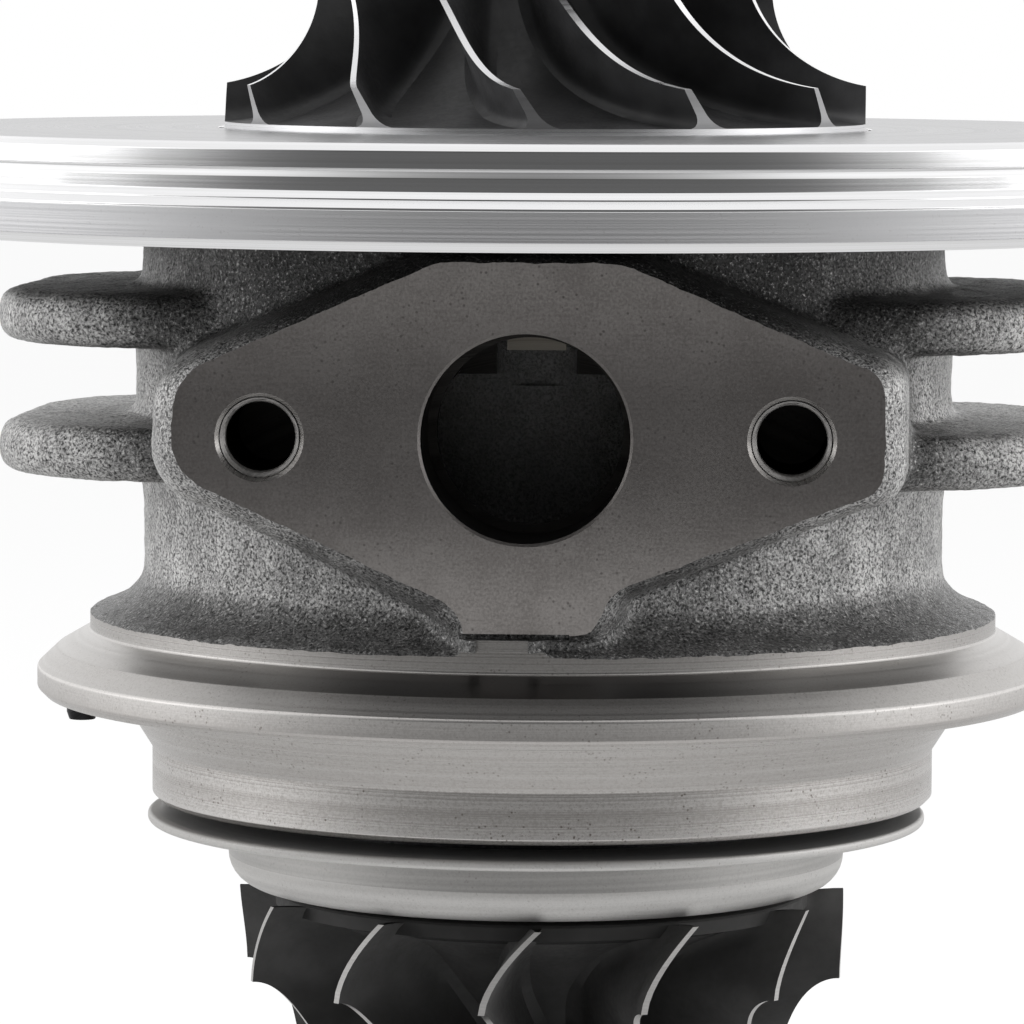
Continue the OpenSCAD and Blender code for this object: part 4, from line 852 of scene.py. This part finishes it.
def sector(profile, start, end):
    """A closed profile of radius and height carried between two turns, closed to its middle at both."""
    middle = np.broadcast_to(profile.mean(0), profile.shape)
    rows = np.stack([middle, profile, profile, profile, middle], 1)
    turn = np.array([start, start, (start + end) / 2, end, end])
    return sheet(polar(rows[..., 0], rows[..., 1], turn[None, :]), wrap_rows=True)


def sideways(plan):
    """Unit steps to the right of a closed outline's way, one at each point."""
    step = np.roll(plan, -1, 0) - np.roll(plan, 1, 0)
    return np.stack([step[:, 1], -step[:, 0]], 1) / np.linalg.norm(step, axis=1, keepdims=True)


def fin_blank(z):
    """Fin plate with a rounded-rectangle plan and a blunt round edge: the plan outline is drawn in
    towards its middle along a flattened half circle."""
    f = FIN
    x, y = f["length"] / 2, f["width"] / 2
    plan = eased([[i * x, j * y, f["corner"]] for i, j in ((-1, -1), (1, -1), (1, 1), (-1, 1))], 16)
    out = sideways(plan)
    a = np.radians(np.linspace(90, -90, 13))
    half = f["thick"] / 2
    draw = half * (np.maximum(np.cos(a), 0) ** f["blunt"] - 1)
    ring = plan[None] + out[None] * draw[:, None, None]
    ring = np.concatenate([np.zeros((1, len(plan), 2)), ring, np.zeros((1, len(plan), 2))])
    height = np.concatenate([[half], half * np.sin(a), [-half]])
    turn = math.radians(f["turn"])
    spun = ring @ np.array([[math.cos(turn), math.sin(turn)], [-math.sin(turn), math.cos(turn)]])
    grid = np.concatenate([spun, np.broadcast_to((z + height)[:, None, None], (*spun.shape[:2], 1))], -1)
    return sheet(grid, wrap_cols=True)


def drain_blank():
    """Drain pad: the face outline grown and carried back from in front of the face into the body."""
    plan = eased(DRAIN_OUTLINE, 6)
    out = -sideways(plan)
    face = -DRAIN_FACE[1]
    depth = np.array([face + 1.6, face + 1.6, face, face - 1.3, face - 2.8, 17.0, 17.0])
    grow = np.array([-2.2, -2.2, 0.1, 1.5, 2.2, 2.8, 2.8])[:, None]
    low_left = np.maximum(0, -out[:, 0]) * np.maximum(0, -out[:, 1])
    share = 0.35 + 0.4 * out[:, 0] ** 2 + 0.6 * low_left
    ring = plan[None] + out[None] * np.where(grow > 0, grow * share, grow)[..., None]
    ring[0] = ring[-1] = plan.mean(0)
    ring[..., 1] = np.clip(ring[..., 1] + DRAIN[2], LAND_LOW + 0.4, BODY_TOP - 0.4)
    grid = np.stack(np.broadcast_arrays(ring[..., 0], -depth[:, None], ring[..., 1]), -1)
    return sheet(grid, wrap_cols=True)


def front_rod(x, z, radii, depths, steps=96):
    """Closed bar along Y at x and z whose radius changes at each depth."""
    turn = np.radians(np.linspace(0, 360, steps, endpoint=False))
    r = np.array([0, *radii, 0])[:, None]
    y = np.array([depths[0], *depths, depths[-1]])[:, None]
    grid = np.stack(np.broadcast_arrays(x + r * np.cos(turn), y, z + r * np.sin(turn)), -1)
    return sheet(grid, wrap_cols=True)


def inlet_blank():
    """Round boss for the oil feed, on the side away from the drain."""
    face = HOUSING_HIGH[1]
    return front_rod(0, INLET[2], [10.6, 9.7, 9.5, 9.2], [24.0, 31.0, face + 0.3, face + 0.9])


def applied(obj):
    """Replaces an object's mesh by its modified one and removes the modifiers."""
    bpy.context.view_layer.update()
    graph = bpy.context.evaluated_depsgraph_get()
    mesh = bpy.data.meshes.new_from_object(obj.evaluated_get(graph))
    obj.modifiers.clear()
    obj.data = mesh


def casting_blank(face, ledge):
    """Neck, fins, drain pad, its foot and the inlet boss run together, blended and given a rough skin."""
    blanks = [neck_blank(), drain_blank(), inlet_blank()]
    blanks.append(block([-4.2, -face - 1.2, LAND_LOW - 1], [1.0, -face + 6, ledge + 0.3]))
    blanks += [fin_blank(FIN["low_z"] + i * FIN["pitch"]) for i in (0, 1)]
    obj = piece("cast_housing", blanks, [CAST, MILLED, TURNED_IRON, INSIDE, BORE_SHADE])
    melt = obj.modifiers.new("melt", "REMESH")
    melt.mode = "VOXEL"
    melt.voxel_size = VOXEL * MM
    blend = obj.modifiers.new("blend", "SMOOTH")
    blend.factor = 0.5
    blend.iterations = SMOOTH_PASSES
    for size, depth in ((1.7, 0.14), (0.8, 0.12)):
        lumps = bpy.data.textures.new(f"cast_lumps_{size}", "CLOUDS")
        lumps.noise_scale = size * MM
        lumps.noise_depth = 1
        rough = obj.modifiers.new("rough", "DISPLACE")
        rough.texture = lumps
        rough.texture_coords = "LOCAL"
        rough.strength = depth * MM
        rough.mid_level = 0.5
    applied(obj)
    return obj


def drain_cutters(face):
    """Bars that bore the drain and its two tapped holes, each with a small bevel at the mouth."""
    bore, mouth = DRAIN_DIMS["r_mm"], TAPPED["mouth_r"]
    front, end = -face - 2, -face + DRAIN_DIMS["length_mm"]
    drain = front_rod(0, DRAIN[2], [bore + 0.2, bore + 0.2, bore, bore, bore - 0.7, bore - 0.7],
                      [front, -face, -face + 0.2, end, end, -13.0])
    radii = [mouth, mouth, THREAD_OUT_R, THREAD_OUT_R]
    depths = [front, -face, -face + mouth - THREAD_OUT_R, -face + TAPPED["depth"]]
    across = DRAIN_BOLTS["spacing_x_mm"] / 2
    holes = [front_rod(side * across, DRAIN[2], radii, depths, 64) for side in (-1, 1)]
    return [drain], holes


def band(inner, outer, low, high):
    """Rectangle of radius and height, the profile of a ring or a drum."""
    return np.array([[inner, low], [outer, low], [outer, high], [inner, high]])


def bearing_cutter():
    """Stepped bar with room for the bushes and, above them, for the thrust collar."""
    bush, collar = BUSH_HIGH[0] + 0.05, COLLAR_HIGH[0] + 0.15
    low, under, high = LAND_LOW - 7, COLLAR_LOW[2] - 0.2, BODY_TOP - 4
    return turned(np.array([[0.0, low], [bush, low], [bush, under], [collar, under],
                            [collar, high], [0.0, high]]))


def casting_cutters(face, ledge):
    """Closed cutters by name, in the order in which they machine the casting."""
    back, inlet_r = HOUSING_HIGH[1], INLET_DIMS["r_mm"]
    drain, holes = drain_cutters(face)
    inlet = front_rod(0, INLET[2], [inlet_r + 0.7, inlet_r + 0.7, inlet_r, inlet_r],
                      [back + 1, back, back - 0.7, back - INLET_DIMS["length_mm"]], 64)
    slot_band = band(0.0, OIL["slot_r"], OIL["roof_z"] - 1, BODY_TOP + 2)
    points, faces, slot = turned(slot_band, steps=48)
    return {
        "face": [block([-REACH, -face - REACH, ledge], [REACH, -face, REACH])],
        "bore": drain,
        "holes": holes,
        "seat": [block([-REACH, back, LAND_HIGH], [REACH, back + 20, BODY_TOP])],
        "inlet": [inlet],
        "land": [turned(band(LAND_R, REACH, LAND_LOW - 4, LAND_HIGH + 0.3))],
        "step": [sector(band(LAND_R, REACH, LAND_LOW - 4, ledge), -5.6, 0.5)],
        "groove": [block([-5.4, -face - 2, ledge - 0.02], [3.2, -face + 0.6, ledge + 0.4])],
        "base": [turned(band(0.0, REACH, LAND_LOW - 6, LAND_SPLIT))],
        "cavity": [turned(band(OIL["inner_r"], OIL["outer_r"], OIL["low_z"], OIL["roof_z"]))],
        "deck": [turned(band(0.0, REACH, BODY_TOP, BODY_TOP + 5))],
        "oil_slot": [(points + [0, OIL["slot_y"], 0], faces, slot)],
        "well": [turned(band(0.0, OIL["well_r"], OIL["well_z"], BODY_TOP + 2))],
        "bearings": [bearing_cutter()],
    }


def cast_body():
    """The casting as it is made: the rough blank, then the drain face, the bores and tapped holes, the
    inlet's seat, the land, the oil cavity and the bearing bore cut from it."""
    face = -DRAIN_FACE[1]
    ledge = DRAIN[2] + min(row[1] for row in DRAIN_OUTLINE) - 0.25
    obj = casting_blank(face, ledge)
    for name, sheets in casting_cutters(face, ledge).items():
        tool = piece("tool_" + name, sheets, [])
        cut = obj.modifiers.new(name, "BOOLEAN")
        cut.operation = "DIFFERENCE"
        cut.solver = "MANIFOLD"
        cut.object = tool
        applied(obj)
        bpy.data.objects.remove(tool)
    finish_faces(obj.data, face)
    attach(obj, "housing")
    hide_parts("bearing_housing")


def finish_faces(mesh, face):
    """Gives machined faces their finish by where they lie: the drain plane, the tapped holes, the oil
    cavity, the drain bore, the turned land and the inlet. Slot 0 is the cast skin, 1 milled, 2 turned,
    3 inside and 4 painted shade deep in the bores and holes."""
    count = len(mesh.polygons)
    centre = np.empty(count * 3)
    normal = np.empty(count * 3)
    mesh.polygons.foreach_get("center", centre)
    mesh.polygons.foreach_get("normal", normal)
    x, y, z = centre.reshape(-1, 3).T / MM
    ny, nz = normal.reshape(-1, 3).T[1:]
    slot = np.zeros(count, np.int32)
    hole = np.hypot(np.abs(x) - DRAIN_BOLTS["spacing_x_mm"] / 2, z - DRAIN[2])
    bore = np.hypot(x, z - DRAIN[2])
    radius = np.hypot(x, y)
    sunk = y > -face + 0.01
    in_hole = sunk & (hole < TAPPED["mouth_r"] + 0.1)
    slot[(ny < -0.999) & (np.abs(y + face) < 0.02)] = 1
    # slot 4, deep in the holes and bores, is painted shade
    slot[in_hole & (y < -20)] = 4
    slot[in_hole & (y < -face + 0.3)] = 2
    slot[(radius < OIL["outer_r"] + 0.2) & (z > LAND_LOW + 1) & (z < BODY_TOP - 0.1)] = 3
    slot[sunk & (bore < DRAIN_DIMS["r_mm"] + 0.3) & (y < -13)] = 4
    slot[sunk & (np.abs(bore - DRAIN_DIMS["r_mm"]) < 0.3) & (y < -face + 0.2)] = 1
    slot[(np.abs(radius - LAND_R) < 0.03) & (np.abs(nz) < 0.05) & (z < LAND_HIGH + 1.5)] = 2
    slot[(y > HOUSING_HIGH[1] - 9.2) & (np.hypot(x, z - INLET[2]) < INLET_DIMS["r_mm"] + 0.9)] = 4
    slot[(ny > 0.999) & (np.abs(y - HOUSING_HIGH[1]) < 0.02)] = 1
    mesh.polygons.foreach_set("material_index", slot)
    mesh.shade_smooth()
    mesh.set_sharp_from_angle(angle=math.radians(38))
    seams(mesh, slot)


def seams(mesh, slot):
    """Makes every edge sharp where two finishes meet."""
    edge = np.empty(len(mesh.loops), np.int32)
    total = np.empty(len(mesh.polygons), np.int32)
    mesh.loops.foreach_get("edge_index", edge)
    mesh.polygons.foreach_get("loop_total", total)
    owner = np.repeat(slot, total)
    low = np.full(len(mesh.edges), 99)
    high = np.full(len(mesh.edges), -1)
    np.minimum.at(low, edge, owner)
    np.maximum.at(high, edge, owner)
    sharp = np.empty(len(mesh.edges), bool)
    mesh.edges.foreach_get("use_edge_sharp", sharp)
    mesh.edges.foreach_set("use_edge_sharp", sharp | (low != high))


def drain_threads():
    """Thread in both drain holes: a tube whose radius is a rounded wave that climbs one pitch a turn,
    with the turned thread finish near the mouth and painted shade deeper down."""
    # bright is the depth past which the thread takes painted shade
    pitch, crest, face, bright = 1.0, DRAIN_BOLTS["hole_r_mm"], -DRAIN_FACE[1], 2.2
    turn = np.linspace(0, 2 * np.pi, 64, endpoint=False)[None, :]
    depth = np.linspace(0.25, 12.3, 150)[:, None]
    wave = 0.5 - 0.5 * np.cos(2 * np.pi * depth / pitch - turn)
    r = np.minimum(crest + (THREAD_OUT_R - crest) * wave, THREAD_OUT_R + 0.1)
    r = np.maximum(r, 3.1 - depth)
    sheets = []
    for side in (-1, 1):
        x = side * DRAIN_BOLTS["spacing_x_mm"] / 2
        places = x + r * np.cos(turn), depth - face, DRAIN[2] + r * np.sin(turn)
        grid = np.stack(np.broadcast_arrays(*places), -1)
        sheets.append(sheet(grid, np.repeat(depth[:-1, 0] > bright, 64), wrap_cols=True))
    obj = piece("drain_hole_threads", sheets, [THREAD_IRON, BORE_SHADE], 60)
    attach(obj, "housing")


# Rotor ends

def compressor_nut():
    """Hexagon nut with a thin round flange under it."""
    flats, bore, outer = 9.0, 2.9, 5.6
    low, high = NUT_LOW[2], NUT_HIGH[2]
    flange = eased([[bore, low, 0], [outer, low, 0.1], [outer, low + 0.3, 0.1],
                    [outer - 0.6, low + 1.1, 0.3], [bore, low + 1.1, 0]])
    sheets = [turned(flange, steps=96), hexagon_bar(flats, low + 0.5, high, 0.1)]
    obj = piece("compressor_nut_hexagon", sheets, [STEEL])
    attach(obj, "rotor")
    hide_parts("compressor_nut")


def rotor_shaft():
    """Shaft with a grooved seal hub, journals and a threaded end: the thread is a wave of radius that
    climbs one pitch a turn."""
    low, high = SHAFT_LOW[2], SHAFT_HIGH[2]
    hub, groove, journal, thin = 8.4, 7.1, 4.0, 2.8
    pitch, depth = 0.8, 0.3
    bore_low = LAND_LOW - 5.75
    collar = BODY_TOP - 7.75
    z = np.concatenate([[low, low, -2.9, -2.9, -1.4, -1.4, bore_low - 4.4, bore_low - 2.2, collar, collar],
                        np.linspace(NUT_LOW[2] - 2, high - 0.5, 70), [high, high]])
    r = np.concatenate([[0, hub, hub, groove, groove, hub, hub, journal, journal, thin],
                        np.full(70, thin), [thin - 0.5, 0]])
    turn = np.linspace(0, 360, 96, endpoint=False)
    wave = 0.5 - 0.5 * np.cos(2 * np.pi * (z[:, None] / pitch - turn[None, :] / 360))
    threaded = np.zeros(len(z))
    threaded[12:-2] = 1
    grid = polar(r[:, None] - depth * wave * threaded[:, None], z[:, None], turn[None, :])
    obj = piece("rotor_shaft_ground", [sheet(grid, wrap_cols=True)], [STEEL])
    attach(obj, "rotor")
    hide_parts("rotor_shaft")


compressor_wheel()
turbine_wheel()
backplate()
heat_shield()
clamp_flange()
locating_pin()
cast_body()
drain_threads()
compressor_nut()
rotor_shaft()


# Camera, floor and light

EYE_DISTANCE = 470.0
EYE_TURN = 2.2
EYE_Z = BODY_TOP + 17.8
AIM_Z = BODY_TOP - 22.08
AIM_LEFT = 2.4
ROLL = 0.25
LENS_MM = 215.7


def stand(name, data, right, up, back, place):
    """Puts a camera or lamp at place in millimetres, with its own three axes as given."""
    matrix = np.eye(4)
    matrix[:3, :3] = np.stack([right, up, back], 1)
    matrix[:3, 3] = place * MM
    obj = bpy.data.objects.new(name, data)
    obj.matrix_world = Matrix(matrix.tolist())
    bpy.context.scene.collection.objects.link(obj)
    return obj


def camera():
    """Camera at the photograph's angle: its place from distance, turn and height, then a frame of
    axes that looks at the aim, rolled a little."""
    eye = polar(EYE_DISTANCE, EYE_Z, EYE_TURN)
    right = np.array([math.cos(math.radians(EYE_TURN)), math.sin(math.radians(EYE_TURN)), 0])
    look = np.array([0, 0, AIM_Z]) - AIM_LEFT * right - eye
    look /= np.linalg.norm(look)
    right = np.cross(look, [0, 0, 1])
    right /= np.linalg.norm(right)
    up = np.cross(right, look)
    c, s = math.cos(math.radians(ROLL)), math.sin(math.radians(ROLL))
    data = bpy.data.cameras.new("camera")
    data.lens = LENS_MM
    data.sensor_width = 36.0
    data.clip_start = 0.01
    bpy.context.scene.camera = stand("camera", data, c * right + s * up, c * up - s * right, -look, eye)


def seen_or_mirrored(s):
    """Two masks: rays straight from the camera or through glass, and mirrored rays."""
    path = s.node("ShaderNodeLightPath").outputs
    first = s.math("MAXIMUM", path["Is Camera Ray"], path["Is Transmission Ray"])
    return first, path["Is Glossy Ray"]


def floor():
    """Plain pale floor under the turbine nose, white to the camera and graded in mirrored rays."""
    size = 3000.0
    z = TURBINE_LOW[2]
    grid = np.array([[[-size, -size, z], [size, -size, z]], [[-size, size, z], [size, size, z]]])
    made, s, bsdf = material("pale_floor", 0.0)
    bsdf.inputs["Base Color"].default_value = (0.55, 0.55, 0.55, 1)
    bsdf.inputs["Roughness"].default_value = 0.9
    white = s.node("ShaderNodeEmission")
    seen, mirrored = seen_or_mirrored(s)
    shown = s.math("MULTIPLY", mirrored, s.span(s.axes()["Y"], -320, -90, 0.08, 0.75))
    s.link(s.math("ADD", s.math("MULTIPLY", seen, 1.03), shown), white.inputs["Strength"])
    share = s.math("MULTIPLY", s.math("MAXIMUM", seen, mirrored), 0.85)
    s.blend(share, bsdf, white, "Material Output")
    obj = piece("floor", [sheet(grid)], [made])


def studio():
    """White surround that is darker on the camera's side, as in a light tent with an open front, and
    brightest at both sides. The camera itself sees plain white."""
    world = bpy.data.worlds.new("studio")
    bpy.context.scene.world = world
    world.use_nodes = True
    s = Shader(world.node_tree)
    split = s.node("ShaderNodeSeparateXYZ")
    s.link(s.node("ShaderNodeTexCoord").outputs["Generated"], split.inputs[0])
    x, y, z = split.outputs
    front = s.span(s.math("POWER", s.span(y, -0.97, -0.25), 1.15), 0.0, 1.0, 0.09, 1.3)
    above = s.span(z, 0.25, 0.85, 1.0, 0.75)
    behind = s.span(y, 0.2, 0.9, 1.0, 0.9)
    low = s.span(z, -0.7, 0.1, 0.75, 1.0)
    beside = s.span(s.math("ABSOLUTE", x), 0.9, 0.99, 1.0, 1.7)
    tent = world.node_tree.nodes["Background"]
    s.link(s.joined("MULTIPLY", front, above, behind, low, beside), tent.inputs["Color"])
    white = s.node("ShaderNodeBackground")
    white.inputs["Color"].default_value = (1, 1, 1, 1)
    s.blend(seen_or_mirrored(s)[0], tent, white, "World Output")


def lamp(name, place, aim, size, power):
    """Square soft lamp at place, turned to aim, sizes in millimetres. Metal doesn't mirror it."""
    data = bpy.data.lights.new(name, "AREA")
    data.size = size * MM
    data.energy = power
    place, aim = np.array(place, float), np.array(aim, float)
    back = (place - aim) / np.linalg.norm(place - aim)
    right = np.cross([0, 0, 1.0], back)
    right /= np.linalg.norm(right)
    stand(name, data, right, np.cross(back, right), back, place).visible_glossy = False


camera()
floor()
studio()
for lamp_name, lamp_x in (("left", -450), ("right", 450)):
    lamp(lamp_name, (lamp_x, 30, 140), (0, 0, 20), 400, 4.0)
bpy.context.scene.view_settings.view_transform = "Standard"
